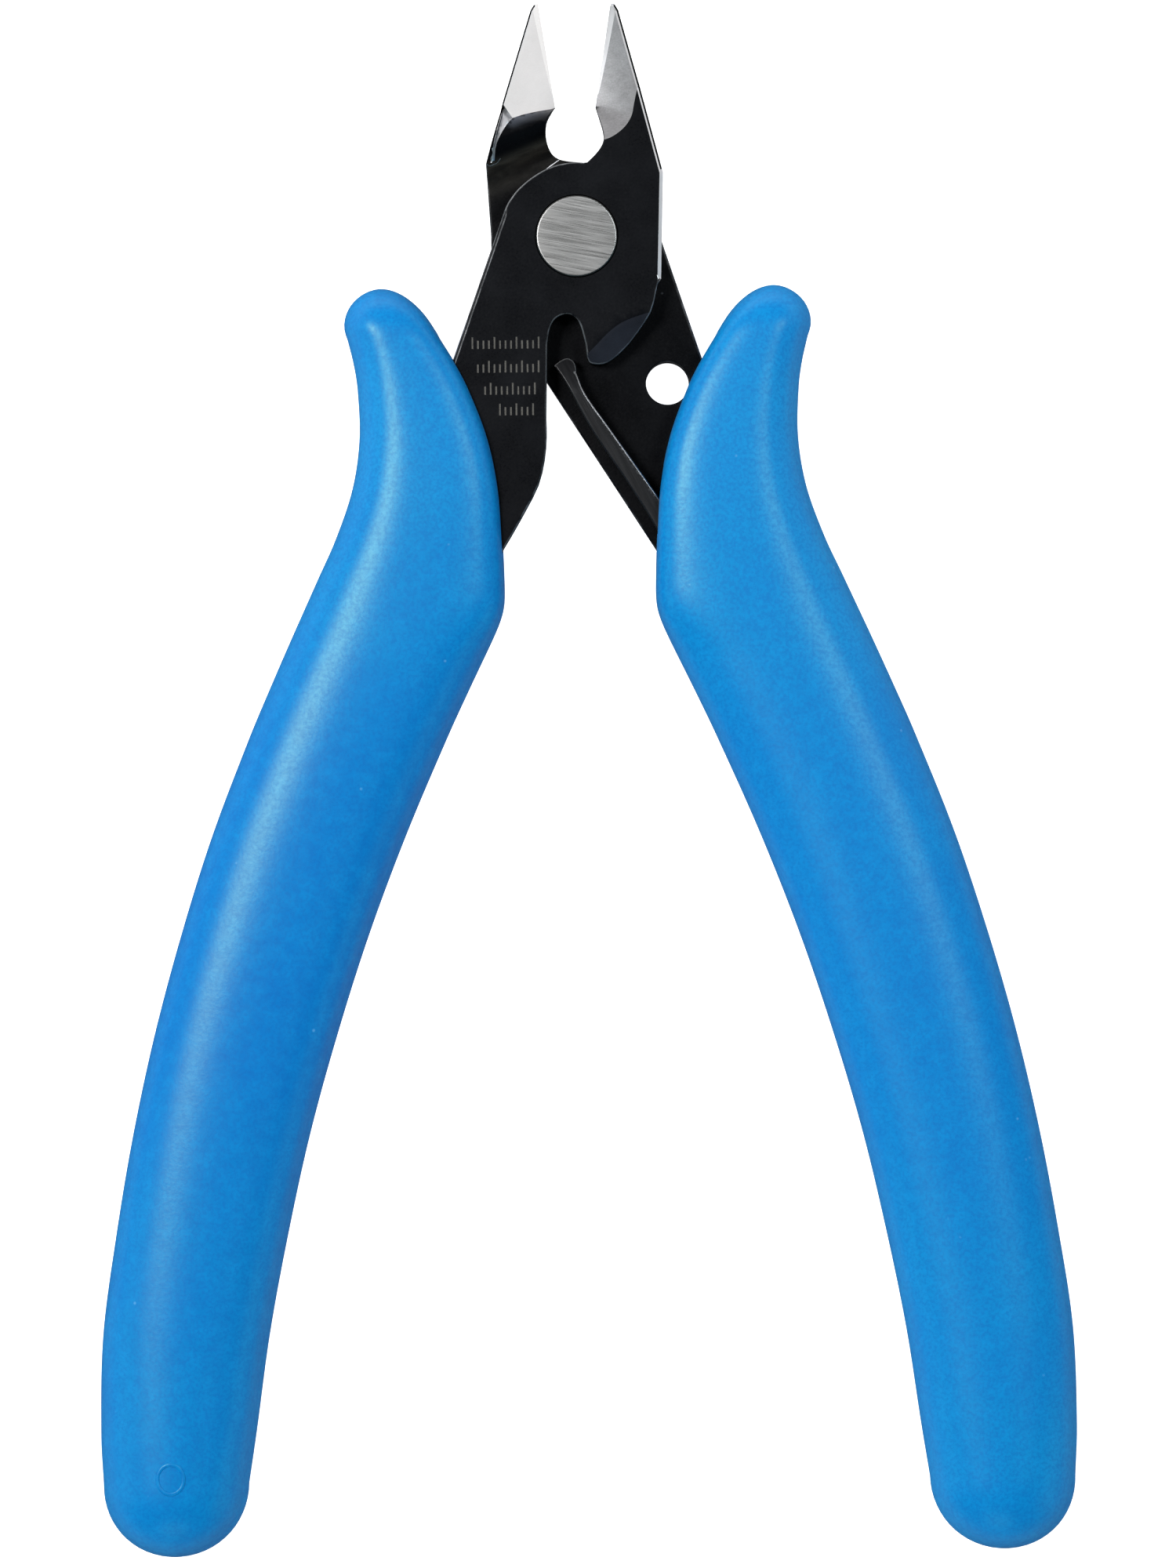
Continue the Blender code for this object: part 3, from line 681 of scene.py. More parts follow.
def marks():
    """Four short rows of etched index ticks, in place of lettering: x0, x1, y, half height."""
    out = []
    for n, right, y, every in ((13, -3.12, -8.60, 4), (12, -3.14, -10.50, 3), (10, -3.46, -12.26, 4), (7, -3.62, -13.92, 3)):
        for k in range(n):
            x = right - 0.44 * k
            tall = 0.47 if k % every == 0 else 0.33
            out.append((x - 0.068, x + 0.068, y - 0.33 + tall, tall))
    return out


def rect(x0, x1, y, h, grow=0.0):
    return [(x0 - grow, y - h - grow), (x1 + grow, y - h - grow), (x1 + grow, y + h + grow), (x0 - grow, y + h + grow)]


def front_top(P):
    z = np.full(len(P), TOP)
    g = ground(P, ROOT, t_r, n_r, ALONG_R, FAN_R)
    g = hone(P, g, ROOT, t_r, n_r)
    g = g - np.where(g < TOP, 0.74 * np.maximum(0.0, 0.28 - line_distance(P, JAW_R_LINE)), 0.0)
    jaw = P[:, 1] > 7.3
    z = np.where(jaw & (P[:, 0] > 0.5), np.minimum(z, np.maximum(g, LAP + 0.02)), z)
    # coined facet along the heel
    s = side_of(P, FACET_LINE)
    near = (P[:, 1] < -5.0) & (P[:, 0] > 0.4)
    z = np.where(near & (s < 0), z - 0.45 * np.minimum(-s, 2.2), z)
    # shallow etching
    for b in BARS:
        z = np.where(inside(P, rect(*b, grow=-0.03)), z - 0.02, z)
    # seat for the rivet head
    r = np.hypot(P[:, 0], P[:, 1])
    return np.where(r < SEAT_R - 0.01, TOP - SEAT_DEPTH, z)


BARS = marks()
RUN_R_POLY = RUN_R + [(1.0, 7.4), (0.8, 10.4), (2.0, 19.5), (6.2, 19.5), (6.2, 12.6)]


def front_mat(C, top):
    out = np.zeros(len(C), int)
    if top is None:
        # walls: the cutting side and the tip are bare, the rest is black
        out[(C[:, 1] > 10.5) & (np.abs(C[:, 0]) < 3.35)] = 1
        return out
    if not top:
        out[(C[:, 1] > 7.0) & (C[:, 0] > 0)] = 5
        return out
    out[inside(C, RUN_R_POLY) & (C[:, 0] > 1.0) & (C[:, 1] > 7.3)] = 1
    d = C - np.array(ROOT)
    a, u = d @ t_r, d @ n_r
    out[(a > 1.1) & (a < EDGE_LEN) & (u < hone_width(a)) & (u > -0.5) & (C[:, 1] > 10.3)] = 2
    s = side_of(C, FACET_LINE)
    out[(s < 0) & (C[:, 1] < -5.0) & (C[:, 0] > 0.5)] = 4
    for b in BARS:
        out[inside(C, rect(*b))] = 3
    d = line_distance(C, JAW_R_LINE)
    out[(d < 0.28) & (C[:, 1] > -3.45)] = 6
    # painted shade: the outer half of the right jaw's chamfer is painted black oxide, a dark line standing in for the
    # edge in shade
    out[(d < 0.14) & (C[:, 1] > 5.3)] = 0
    return out


JAW_R_LINE = [(6.70, -3.48), (6.95, 5.00), (3.52, 18.25), (3.25, 18.72)]
LAP_ARC = [((5.88 + 0.22 * float(sstep((g - 122) / 38.9))) * math.cos(math.radians(g)),
            (5.88 + 0.22 * float(sstep((g - 122) / 38.9))) * math.sin(math.radians(g)))
           for g in np.linspace(84.0, 160.9, 60)]
front_runs = [
    (LAP_ARC, "arc"),
    (resample([LAP_ARC[-1]] + SHOULDER[1:3], 0.3), "left"),
    (resample(SHOULDER[2:] + TANG_OUT, 1.5), "hidden"),
    (resample([TANG_OUT[-1], TANG_IN[-1]], 1.2), "hidden"),
    (resample(TANG_IN[::-1], 1.5), "hidden"),
    (resample(smooth([TANG_IN[0]] + FRONT_INNER[:-1], 2) + [FRONT_INNER[-1]], 0.25), "inner"),
    (NOTCH, "notch"),
    (resample([NOTCH[-1], HEEL[0]], 0.2), "notch"),
    (HEEL, "heel"),
    (resample([HEEL[-1], JAW_R_LINE[0]], 0.2), "heel"),
    (resample(JAW_R_LINE[:2], 0.3), "cham_r"),
    (resample(JAW_R_LINE[1:3], 0.3), "cham_r"),
    (resample(JAW_R_LINE[2:], 0.12), "cham_r"),
    (resample([JAW_R_LINE[-1], TIP], 0.12), "cut"),
    (resample([TIP, ROOT], 0.25), "cut"),
    (MOUTH_R, "mouth"),
    (resample([MOUTH_R[-1], LAP_ARC[0]], 0.1), "mouth"),
]


def circle(cx, cy, r, n):
    return arc(cx, cy, r, 0.0, 360.0, n)[:-1]


def closed(points):
    return list(points) + [points[0]]


def ribbon(points, w):
    """A closed strip of width w along a polyline."""
    p = [np.array(q, float) for q in points]
    left, right = [], []
    for i, q in enumerate(p):
        t = p[min(i + 1, len(p) - 1)] - p[max(i - 1, 0)]
        t /= np.linalg.norm(t)
        m = np.array([-t[1], t[0]]) * w / 2
        left.append(tuple(q + m))
        right.append(tuple(q - m))
    return left + right[::-1]


FRONT_BARS = [rect(*b) for b in BARS]


def front_grid(P):
    want = np.full(len(P), 2.2)
    want[(P[:, 1] > 7.0) & (P[:, 0] > 0)] = 0.32
    want[(P[:, 1] > 11.8) & (P[:, 0] > 0)] = 0.6
    want[(P[:, 1] < -5.5) & (P[:, 1] > -11) & (P[:, 0] > 0.3)] = 0.45
    return want


steel_front = build_plate(
    "steel_front", front_runs,
    [(circle(0, 0, BORE_R, 64), "bore")],
    front_top, lambda P: np.full(len(P), LAP),
    [RUN_R, hone_line(ROOT, t_r, n_r), FACET_LINE,
     closed(circle(0, 0, SEAT_R, 96)), closed(circle(0, 0, SEAT_R - 0.02, 96))]
    + [closed(b) for b in FRONT_BARS] + [closed(rect(*b, grow=-0.03)) for b in BARS],
    front_grid, front_mat,
    {"arc": 0.95, "left": 0.75, "inner": 0.42, "notch": 0.48, "heel": 0.55, "cham_r": 0.0, "mouth": 0.10},
    {"arc": 0.14, "left": 0.27, "inner": 0.16, "notch": 0.14, "heel": 0.12, "cham_r": 0.28, "mouth": 0.08},
    {"arc": 0.08, "left": 0.12, "inner": 0.12, "notch": 0.10, "heel": 0.10, "cham_r": 0.12},
    [OXIDE, BLADE_R_PAINTED_SHADE, HONED_R_PAINTED_SHADE, ETCH, COIN_PAINTED_HIGHLIGHT, FLUSH, CHAMFER], second_line={"left": 0.62})
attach(steel_front, "front_half")
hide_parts("front_plate")

# ----------------------------------------------------------------- rear plate
ROOT_L, TIP_L = mirror([ROOT])[0], mirror([TIP])[0]
GROUND_LOW = smooth([(-1.55, 10.52), (-1.96, 10.36), (-2.70, 10.20), (-3.50, 10.00), (-4.30, 9.76), (-5.02, 9.47)], per=4)
FACET_IN = smooth([(-5.02, 9.47), (-5.50, 8.92), (-5.94, 8.22), (-6.22, 7.66), (-6.40, 7.09), (-6.50, 6.20)], per=4)
FACET_TOP = (-5.70, 10.50)
STRIP_IN = [(-6.72, 6.05), (-6.62, 6.75), (-5.70, 10.50)]
JAW_L_LINE = [(-7.20, 6.00), (-3.52, 18.25), (-3.25, 18.72)]
FACET_POLY = [FACET_TOP] + FACET_IN + [(-6.72, 6.05), (-6.62, 6.75)]
FACET_OFF = [(-5.02 - 0.033, 9.47 - 0.022), (-5.70 - 0.033, 10.50 - 0.022)]
FACET_SHRUNK = [(-5.70 - 0.017, 10.50 - 0.011), (-5.02 - 0.017, 9.47 - 0.011)] + FACET_IN[1:] + [(-6.72, 6.05), (-6.62, 6.75)]
STRIP_POLY = [(-5.70, 10.50), (-6.62, 6.75), (-6.72, 6.05), (-7.30, 5.95), (-7.30, 6.2), (-5.9, 10.9)]
GROUND_POLY = GROUND_LOW + [FACET_TOP, (-5.9, 10.9), (-3.6, 18.9), (-2.0, 19.5), (-0.9, 10.5)]
# painted highlight: a thin bright line at the end of the outer chamfer strip, drawn as material
TICK_HIGHLIGHT_LINE = smooth([(-7.16, 5.92), (-6.92, 5.80), (-6.66, 5.86), (-6.30, 6.02), (-6.02, 6.36)], per=4)


def lift(P):
    d = -math.sin(math.radians(JOG_TILT)) * P[:, 0] + math.cos(math.radians(JOG_TILT)) * P[:, 1]
    return JOGGLE * sstep((d - JOG_D0) / (JOG_D1 - JOG_D0))


def ground_left(P):
    g = ground(P, ROOT_L, t_l, n_l, ALONG_L, FAN_L)
    return hone(P, g, ROOT_L, t_l, n_l)


def rear_top(P):
    base = -LAP + lift(P)
    z = base.copy()
    jaw = (P[:, 1] > 5.5) & (P[:, 0] < -0.8)
    g = ground_left(P)
    # shoulder under the ground face: steep at first, easing into the plate
    s = -side_of(P, GROUND_LOW[::-1])           # positive below the boundary
    near = np.array(GROUND_LOW)[np.argmin(((P[:, None] - np.array(GROUND_LOW)[None]) ** 2).sum(2), 1)]
    zg = ground_left(near)
    ease = 1.0 - (1.0 - np.clip(s / 1.5, 0, 1)) ** 2.6
    shoulder = zg + (TOP - zg) * ease
    in_ground = inside(P, GROUND_POLY) | (P[:, 1] > 10.6)
    zz = np.where(in_ground | (s <= 0.0), np.minimum(TOP + 0.16, g), np.minimum(base, shoulder))
    # outer facet, then the chamfer strip beyond it
    fin = np.array(resample(FACET_IN, 0.05))
    near = fin[np.argmin(((P[:, None] - fin[None]) ** 2).sum(2), 1)]
    o = np.hypot(*(P - near).T)
    fac = np.minimum(ground_left(near), -LAP + lift(near)) - 0.80 * o
    on_f = inside(P, FACET_SHRUNK)
    zz = np.where(on_f & (o > 1e-4), fac, zz)
    so = line_distance(P, STRIP_IN)
    on_s = inside(P, STRIP_POLY)
    zz = np.where(on_s & ~on_f & (o > 1e-4) & ~inside(P, GROUND_POLY), fac - 0.10 * so, zz)
    return np.where(jaw, np.maximum(zz, LAP + 0.02), z)


def rear_bot(P):
    z = -LAP - PLATE_T + lift(P)
    r = np.hypot(P[:, 0], P[:, 1])
    return np.where(r < SEAT_R - 0.01, z + SEAT_DEPTH, z)


def rear_mat(C, top):
    out = np.zeros(len(C), int)
    if top is None:
        out[(C[:, 1] > 10.5) & (np.abs(C[:, 0]) < 3.35)] = 1
        return out
    if not top:
        out[(C[:, 1] > 9.9) & (C[:, 0] < -0.5)] = 5
        return out
    jaw = (C[:, 1] > 9.3) & (C[:, 0] < -0.8)
    out[jaw & inside(C, GROUND_POLY)] = 1
    d = C - np.array(ROOT_L)
    a, u = d @ t_l, d @ n_l
    out[(a > 1.1) & (a < EDGE_LEN) & (u < hone_width(a)) & (u > -0.5) & (C[:, 1] > 10.3)] = 2
    out[inside(C, FACET_POLY)] = 4
    out[inside(C, STRIP_POLY)] = 0
    # painted highlight: a thin bright ground-steel line along the chamfer strip's inner border
    out[inside(C, STRIP_POLY) & (line_distance(C, STRIP_IN) < 0.10)] = 6
    # painted highlights: the tick and crest lines
    out[inside(C, TICK_HIGHLIGHT_POLY)] = 4
    out[inside(C, CREST_HIGHLIGHT_POLY)] = 4
    d = line_distance(C, JAW_L_LINE)
    out[(d < 0.16) & (C[:, 1] > 9.0)] = 6
    # painted shade: the outermost rim of the left jaw is painted black oxide, a dark line standing in for the edge in
    # shade
    out[d < 0.125] = 0
    return out


TICK_HIGHLIGHT_POLY = ribbon(TICK_HIGHLIGHT_LINE, 0.07)
# painted highlight: a thin bright line on the rear plate just outside the front plate's arc edge
CREST_HIGHLIGHT_POLY = [(-2.42, 5.46), (-1.98, 5.82), (-1.30, 6.30), (-1.34, 6.34), (-2.02, 5.90), (-2.44, 5.56)]
rear_inner = [(6.60, -25.70), (-2.60, -11.30)]
rear_heel = smooth([(-2.60, -11.30), (-3.40, -10.20), (-4.20, -8.95), (-5.50, -6.45), (-6.12, -5.20),
                    (-6.46, -3.10)], per=5)
rear_side = [(-6.46, -3.10), (-6.85, -2.68), (-6.86, 0.30), (-6.96, 1.80), (-7.20, 6.00)]
REAR_ARC = [((5.88 + 0.22 * float(sstep((70 - g) / 50.9))) * math.cos(math.radians(g)),
             (5.88 + 0.22 * float(sstep((70 - g) / 50.9))) * math.sin(math.radians(g)))
            for g in np.linspace(80.0, 19.1, 50)]
rear_runs = [
    (REAR_ARC, "disc"),
    (resample([REAR_ARC[-1], (6.30, 1.30)] + mirror(SHOULDER[1:2]), 0.4), "right"),
    (resample(mirror(SHOULDER[1:] + TANG_OUT), 1.2), "right"),
    (resample(mirror([TANG_OUT[-1], TANG_IN[-1]]), 1.2), "hidden"),
    (resample(mirror(TANG_IN[::-1]), 1.5), "hidden"),
    (resample(smooth([mirror([TANG_IN[0]])[0], rear_inner[0]], 3), 0.6), "hidden"),
    (resample(rear_inner, 0.5), "rinner"),
    (rear_heel, "rheel"),
    (resample(rear_side, 0.25), "rheel"),
    (resample(JAW_L_LINE[:2], 0.3), "cut_l"),
    (resample(JAW_L_LINE[1:], 0.12), "cut_l"),
    (resample([JAW_L_LINE[-1], TIP_L], 0.12), "cut"),
    (resample([TIP_L, ROOT_L], 0.25), "cut"),
    (MOUTH_L, "mouth"),
    (resample([MOUTH_L[-1], REAR_ARC[0]], 0.1), "mouth"),
]


def rear_painted_sheen(P):
    """Painted sheen: a bluish reflection painted on the shoulder under the ground face, strongest at its outer end."""
    s = -side_of(P, GROUND_LOW[::-1])
    on = (P[:, 1] > 5.5) & (P[:, 0] < -0.8) & (s > 0) & ~inside(P, FACET_POLY) & ~inside(P, STRIP_POLY)
    out = np.clip(1.0 - s / 0.95, 0, 1) ** 1.3 * np.clip((-P[:, 0] - 1.2) / 3.0, 0.25, 1)
    return np.where(on, out, 0)


def rear_painted_ramp_highlight(P):
    """Painted highlight: a lighter band across the joggle's ramp, with a fainter, wider one below it."""
    d = -math.sin(math.radians(JOG_TILT)) * P[:, 0] + math.cos(math.radians(JOG_TILT)) * P[:, 1]
    band = np.exp(-((d - 7.75) / 0.42) ** 2) + 0.35 * np.exp(-((d - 6.4) / 0.8) ** 2)
    return np.where((P[:, 0] < -0.8) & (P[:, 1] > 2.5), np.clip(band, 0, 1), 0)


def rear_grid(P):
    want = np.full(len(P), 2.2)
    want[(P[:, 1] > 1.5) & (P[:, 0] < 1.0)] = 0.38
    want[(P[:, 1] > 5.8) & (P[:, 1] < 10.6) & (P[:, 0] < -0.8)] = 0.2
    want[(P[:, 1] > 11.2)] = 0.6
    return want


steel_rear = build_plate(
    "steel_rear", rear_runs,
    [(circle(0, 0, BORE_R, 64), "bore"), (circle(HANG_HOLE[0], HANG_HOLE[1], HANG_HOLE[2], 96), "hang"),
     (circle(SPRING_AXIS[0], SPRING_AXIS[1], HOOK_HOLE_R, 32), "hook")],
    rear_top, rear_bot,
    [GROUND_LOW, FACET_IN, [FACET_IN[0], FACET_TOP], FACET_OFF, STRIP_IN, hone_line(ROOT_L, t_l, n_l), closed(TICK_HIGHLIGHT_POLY), closed(CREST_HIGHLIGHT_POLY),
     closed(circle(0, 0, SEAT_R, 96)), closed(circle(0, 0, SEAT_R - 0.02, 96))],
    rear_grid, rear_mat,
    {"disc": 0.35, "right": 0.40, "rinner": 0.22, "rheel": 0.35, "cut_l": 0.0, "mouth": 0.20, "hang": 0.25},
    {"disc": 0.10, "right": 0.22, "rinner": 0.16, "rheel": 0.14, "cut_l": 0.16, "mouth": 0.10, "hang": 0.10},
    {"disc": 0.10, "right": 0.15, "rinner": 0.12, "rheel": 0.12, "hang": 0.10},
    [OXIDE_REAR, BLADE_L_PAINTED_LIGHT, HONED_L_PAINTED_LIGHT, FACET, FACET_GREY, FLUSH, CHAMFER], rear_painted_sheen, rear_painted_ramp_highlight)
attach(steel_rear, "rear_half")
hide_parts("rear_plate")


# ---------------------------------------------------------------------- rivet
def revolve(name, profile, n, mats, mat_of=None, centre=(0.0, 0.0)):
    verts, faces, mi = [], [], []
    for r, z in profile:
        for k in range(n):
            a = 2 * math.pi * k / n
            verts.append(world(centre[0] + r * math.cos(a), centre[1] + r * math.sin(a), z))
    m = len(profile)
    for i in range(m - 1):
        for k in range(n):
            a, b = i * n + k, i * n + (k + 1) % n
            faces.append((a, b, b + n, a + n))
            mi.append(mat_of(i) if mat_of else 0)
    faces.append(tuple(range(n))[::-1])
    faces.append(tuple((m - 1) * n + k for k in range(n)))
    mi += [0, 0]
    me = bpy.data.meshes.new(name)
    me.from_pydata(verts, [], faces)
    for x in mats:
        me.materials.append(x)
    me.polygons.foreach_set("material_index", np.array(mi, np.int32))
    me.update()
    me.shade_smooth()
    me.set_sharp_from_angle(angle=math.radians(30))
    ob = bpy.data.objects.new(name, me)
    scene.collection.objects.link(ob)
    return ob


half = [(0.40, 2.664), (2.20, 2.664), (3.07, 2.664), (3.14, 2.661), (3.180, 2.650), (3.213, 2.624), (3.238, 2.578),
        (3.25, 2.51), (3.25, 1.60), (3.22, 1.58), (2.54, 1.575), (SHANK_R, 1.55)]
rivet = revolve("rivet", half + [(r, -z) for r, z in half[::-1]], 144, [RIVET, RIM],
                lambda i: 1 if (3 <= i <= 7 or len(half) * 2 - 9 <= i <= len(half) * 2 - 5) else 0)
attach(rivet, "rear_half")
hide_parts("pivot_rivet")

# --------------------------------------------------------------------- spring
SPRING_L = smooth([(-1.90, -10.24), (-0.90, -11.80), (0.98, -15.30), (3.84, -19.60), (6.05, -23.20), (7.75, -26.60),
                   (8.95, -30.20)], per=8)
SPRING_R = smooth([(10.85, -29.80), (9.75, -26.40), (8.20, -23.60), (6.07, -20.50), (2.63, -15.55), (0.59, -12.60),
                   (-0.14, -10.80)], per=8)
SPRING_HEAD = smooth([(-0.14, -10.80), (-0.20, -10.25), (-0.42, -9.86), (-0.84, -9.66), (-1.36, -9.84), (-1.90, -10.24)],
                     per=5)
HEAD_LINE = [(-1.02, -11.60), (-0.40, -12.05), (0.20, -11.95), (0.36, -12.30)]
SPRING_TOP = SPRING_Z0 + SPRING_T


def spring_top(P):
    z = np.full(len(P), SPRING_TOP)
    ax = (P[:, 0] - P[:, 1] * 0.62)             # grows towards the head
    t = np.clip((P[:, 1] + 12.4) / 2.6, 0, 1)
    z = z - 0.62 * t ** 1.4
    return z


def spring_mat(C, top):
    out = np.zeros(len(C), int)
    return out


spring_wire_ob = build_plate(
    "spring_leg",
    [(SPRING_L, "sl"), (arc(9.9, -30.0, 0.95, 192.1, 372.0, 16), "root"),
     (SPRING_R, "sr"), (SPRING_HEAD, "head")],
    [], spring_top, lambda P: np.full(len(P), SPRING_Z0),
    [HEAD_LINE], lambda P: np.where(P[:, 1] > -13.5, 0.2, 1.2), spring_mat,
    # these weights paint a highlight: a bright line along the right edge (sr) and a paler head, painted light on its
    # tilted face
    {"sl": 0.12, "sr": 2.2, "head": 0.9},
    {"sl": 0.16, "sr": 0.15, "head": 0.12, "root": 0.3},
    {"sl": 0.3, "sr": 0.3, "head": 0.25, "root": 0.2},
    [WIRE])
peg = revolve("spring_peg", [(0.45, -2.33), (0.70, -2.28), (HOOK_R, -2.15), (HOOK_R, 0.60)], 32, [WIRE],
              centre=SPRING_AXIS)
peg.data.transform(peg.matrix_world)
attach(spring_wire_ob, "spring")
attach(peg, "spring")
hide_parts("return_spring")
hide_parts("return_spring")

# ---------------------------------------------------------------------- grips
GRIP_ROWS = [
    (-99.4, -38.95, -27.23), (-95.4, -39.12, -26.60), (-87.5, -38.88, -25.45), (-79.5, -37.75, -23.89),
    (-71.5, -36.32, -22.05), (-63.5, -34.52, -19.76), (-55.6, -32.33, -17.16), (-47.7, -29.78, -14.12),
    (-39.8, -26.70, -10.68), (-35.8, -24.98, -8.80), (-31.8, -23.20, -6.88), (-30.2, -22.47, -6.25),
    (-29.0, -21.92, -6.03), (-27.0, -21.00, -6.03), (-24.0, -19.62, -6.15), (-20.0, -18.22, -6.44),
    (-16.0, -17.60, -7.25), (-12.0, -17.70, -8.75), (-10.0, -17.98, -9.77), (-8.0, -18.45, -10.98)]
PALM = [(y, xo) for y, xo, xi in GRIP_ROWS]
INNER = [(y, xi) for y, xo, xi in GRIP_ROWS]
DEPTH = [(-105.3, 4.45), (-99.0, 4.66), (-90.0, 4.75), (-70.0, 4.78), (-30.0, 4.78), (-20.0, 4.69),
         (-8.0, 4.30), (-3.9, 4.05)]
CROWN = [(-105.3, 2.0), (-95.0, 2.05), (-80.0, 2.2), (-65.0, 2.35), (-43.0, 2.35), (-28.0, 2.6), (-16.0, 2.9), (-3.9, 2.4)]
SIDE = [(-105.3, 2.1), (-90.0, 2.5), (-60.0, 2.9), (-34.0, 3.0), (-28.0, 6.0), (-9.0, 6.0), (-3.9, 2.6)]
SIDE_PALM = [(-105.3, 2.1), (-90.0, 2.5), (-60.0, 2.9), (-3.9, 2.6)]
TOP_CAP, TOP_Y = -8.0, -3.9
END_CAP = -99.4


def grip_row(y):
    h = ramp(DEPTH, y)
    if y > TOP_CAP:
        u = (y - TOP_CAP) / (TOP_Y - TOP_CAP)
        k = max(0.0, 1.0 - u ** 1.85) ** (1 / 1.85)
        mid = ramp([(-8.0, -14.715), (-7.0, -15.13), (-6.0, -15.40), (-5.0, -15.59), (-3.9, -15.70)], y)
        return mid, 3.735 * k, h * max(0.0, 1.0 - u ** 2.4) ** (1 / 2.4)
    if y < END_CAP:
        u = min(1.0, (END_CAP - y) / (END_CAP - END_Y))
        k = max(0.0, 1.0 - u ** 2.05) ** (1 / 2.05)
        return -33.09 - 0.02 * (END_CAP - y), 5.86 * k, h * max(0.0, 1.0 - u ** 2.4) ** (1 / 2.4)
    xo, xi = ramp(PALM, y), ramp(INNER, y)
    return 0.5 * (xo + xi), 0.5 * (xi - xo), h


def section(a, w, h, y):
    """A rounded section: crown sets how flat its top is, side how upright its flanks are."""
    c, s = math.cos(a), math.sin(a)
    p = ramp(CROWN, y)
    q = ramp(SIDE if c > 0 else SIDE_PALM, y)
    x = math.copysign(abs(c) ** (2 / p), c) * w
    z = math.copysign(abs(s) ** (2 / q), s) * h
    return x, z


def grip_mesh(name, side):
    cap = [math.sin(math.radians(a)) for a in range(6, 90, 6)] + [0.9986]
    ys = [END_CAP + (END_Y - END_CAP) * c for c in cap[::-1]] + [END_CAP]
    ys += list(np.arange(-98.6, -34.0, 0.8)) + list(np.arange(-34.0, -26.4, 0.3)) + list(np.arange(-26.4, -8.2, 0.6))
    ys += [TOP_CAP] + [TOP_CAP + (TOP_Y - TOP_CAP) * c for c in cap]
    n = 96
    verts, faces = [], []
    # around the section: the steps are even in angle, though even steps crowd the corners too little
    angs = [2 * math.pi * (k + 0.5) / n for k in range(n)]
    for y in ys:
        mid, w, h = grip_row(y)
        for a in angs:
            x, z = section(a, 0.9935 * w, h, y)
            verts.append(world(side * (mid + x), y, z))
    for i in range(len(ys) - 1):
        for k in range(n):
            a, b = i * n + k, i * n + (k + 1) % n
            f = (a, b, b + n, a + n)
            faces.append(f if side > 0 else f[::-1])
    f0, f1 = tuple(range(n))[::-1], tuple((len(ys) - 1) * n + k for k in range(n))
    faces += [f0, f1] if side > 0 else [f0[::-1], f1[::-1]]
    me = bpy.data.meshes.new(name)
    me.from_pydata(verts, [], faces)
    me.update()
    ob = bpy.data.objects.new(name, me)
    scene.collection.objects.link(ob)
    return ob


def prism(name, outline, z0, z1):
    n = len(outline)
    area = sum(a[0] * b[1] - b[0] * a[1] for a, b in zip(outline, outline[1:] + outline[:1]))
    if area < 0:
        outline = outline[::-1]
    verts = [world(x, y, z0) for x, y in outline] + [world(x, y, z1) for x, y in outline]
    faces = [tuple(range(n))[::-1], tuple(range(n, 2 * n))]
    faces += [(k, (k + 1) % n, n + (k + 1) % n, n + k) for k in range(n)]
    me = bpy.data.meshes.new(name)
    me.from_pydata(verts, [], faces)
    ob = bpy.data.objects.new(name, me)
    scene.collection.objects.link(ob)
    return ob


def grow(outline, d):
    """Mitred offset of a closed outline."""
    p = [np.array(q, float) for q in outline]
    n = len(p)
    area = sum(p[i][0] * p[(i + 1) % n][1] - p[(i + 1) % n][0] * p[i][1] for i in range(n))
    s = 1.0 if area > 0 else -1.0
    out = []
    for i in range(n):
        a, b = p[i] - p[i - 1], p[(i + 1) % n] - p[i]
        a, b = a / max(np.linalg.norm(a), 1e-9), b / max(np.linalg.norm(b), 1e-9)
        na, nb = np.array([a[1], -a[0]]) * s, np.array([b[1], -b[0]]) * s
        m = na + nb
        m = m / max(np.linalg.norm(m), 1e-9)
        out.append(tuple(p[i] + m * d / max(0.6, float(m @ na))))
    return out


def carve(ob, tool):
    mod = ob.modifiers.new("carve", "BOOLEAN")
    mod.operation = "DIFFERENCE"
    mod.object = tool
    mod.solver = "EXACT"
    dg = bpy.context.evaluated_depsgraph_get()
    me = bpy.data.meshes.new_from_object(ob.evaluated_get(dg))
    ob.modifiers.clear()
    old = ob.data
    me.name = old.name
    ob.data = me
    bpy.data.meshes.remove(old)
    tm = tool.data
    bpy.data.objects.remove(tool)
    bpy.data.meshes.remove(tm)


def finish_grip(ob, body, node):
    me = ob.data
    me.materials.clear()
    me.materials.append(PVC)
    me.polygons.foreach_set("material_index", np.zeros(len(me.polygons), np.int32))
    me.shade_smooth()
    me.set_sharp_from_angle(angle=math.radians(42))
    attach(ob, body)
    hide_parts(node)


FIT = 0.08
FRONT_TANG = SHOULDER[1:] + TANG_OUT + TANG_IN[::-1] + FRONT_INNER[:-1]
REAR_TANG = mirror(SHOULDER[1:] + TANG_OUT + TANG_IN[::-1]) + [(6.60, -25.70), (3.0, -20.1)]
grip_left = grip_mesh("grip_left", 1.0)
carve(grip_left, prism("cut_a", grow([(-3.0, -9.85)] + FRONT_TANG, FIT), LAP - FIT, TOP + FIT))
finish_grip(grip_left, "front_half", "left_grip")

grip_right = grip_mesh("grip_right", -1.0)
carve(grip_right, prism("cut_b", grow([(3.0, -9.85)] + REAR_TANG, FIT), -TOP - FIT, -LAP + FIT))
swing = math.radians(0.48 * CLOSING)


def swung(p):
    dx, dy = p[0] - SPRING_AXIS[0], p[1] - SPRING_AXIS[1]
    return (SPRING_AXIS[0] + dx * math.cos(swing) + dy * math.sin(swing),
            SPRING_AXIS[1] - dx * math.sin(swing) + dy * math.cos(swing))


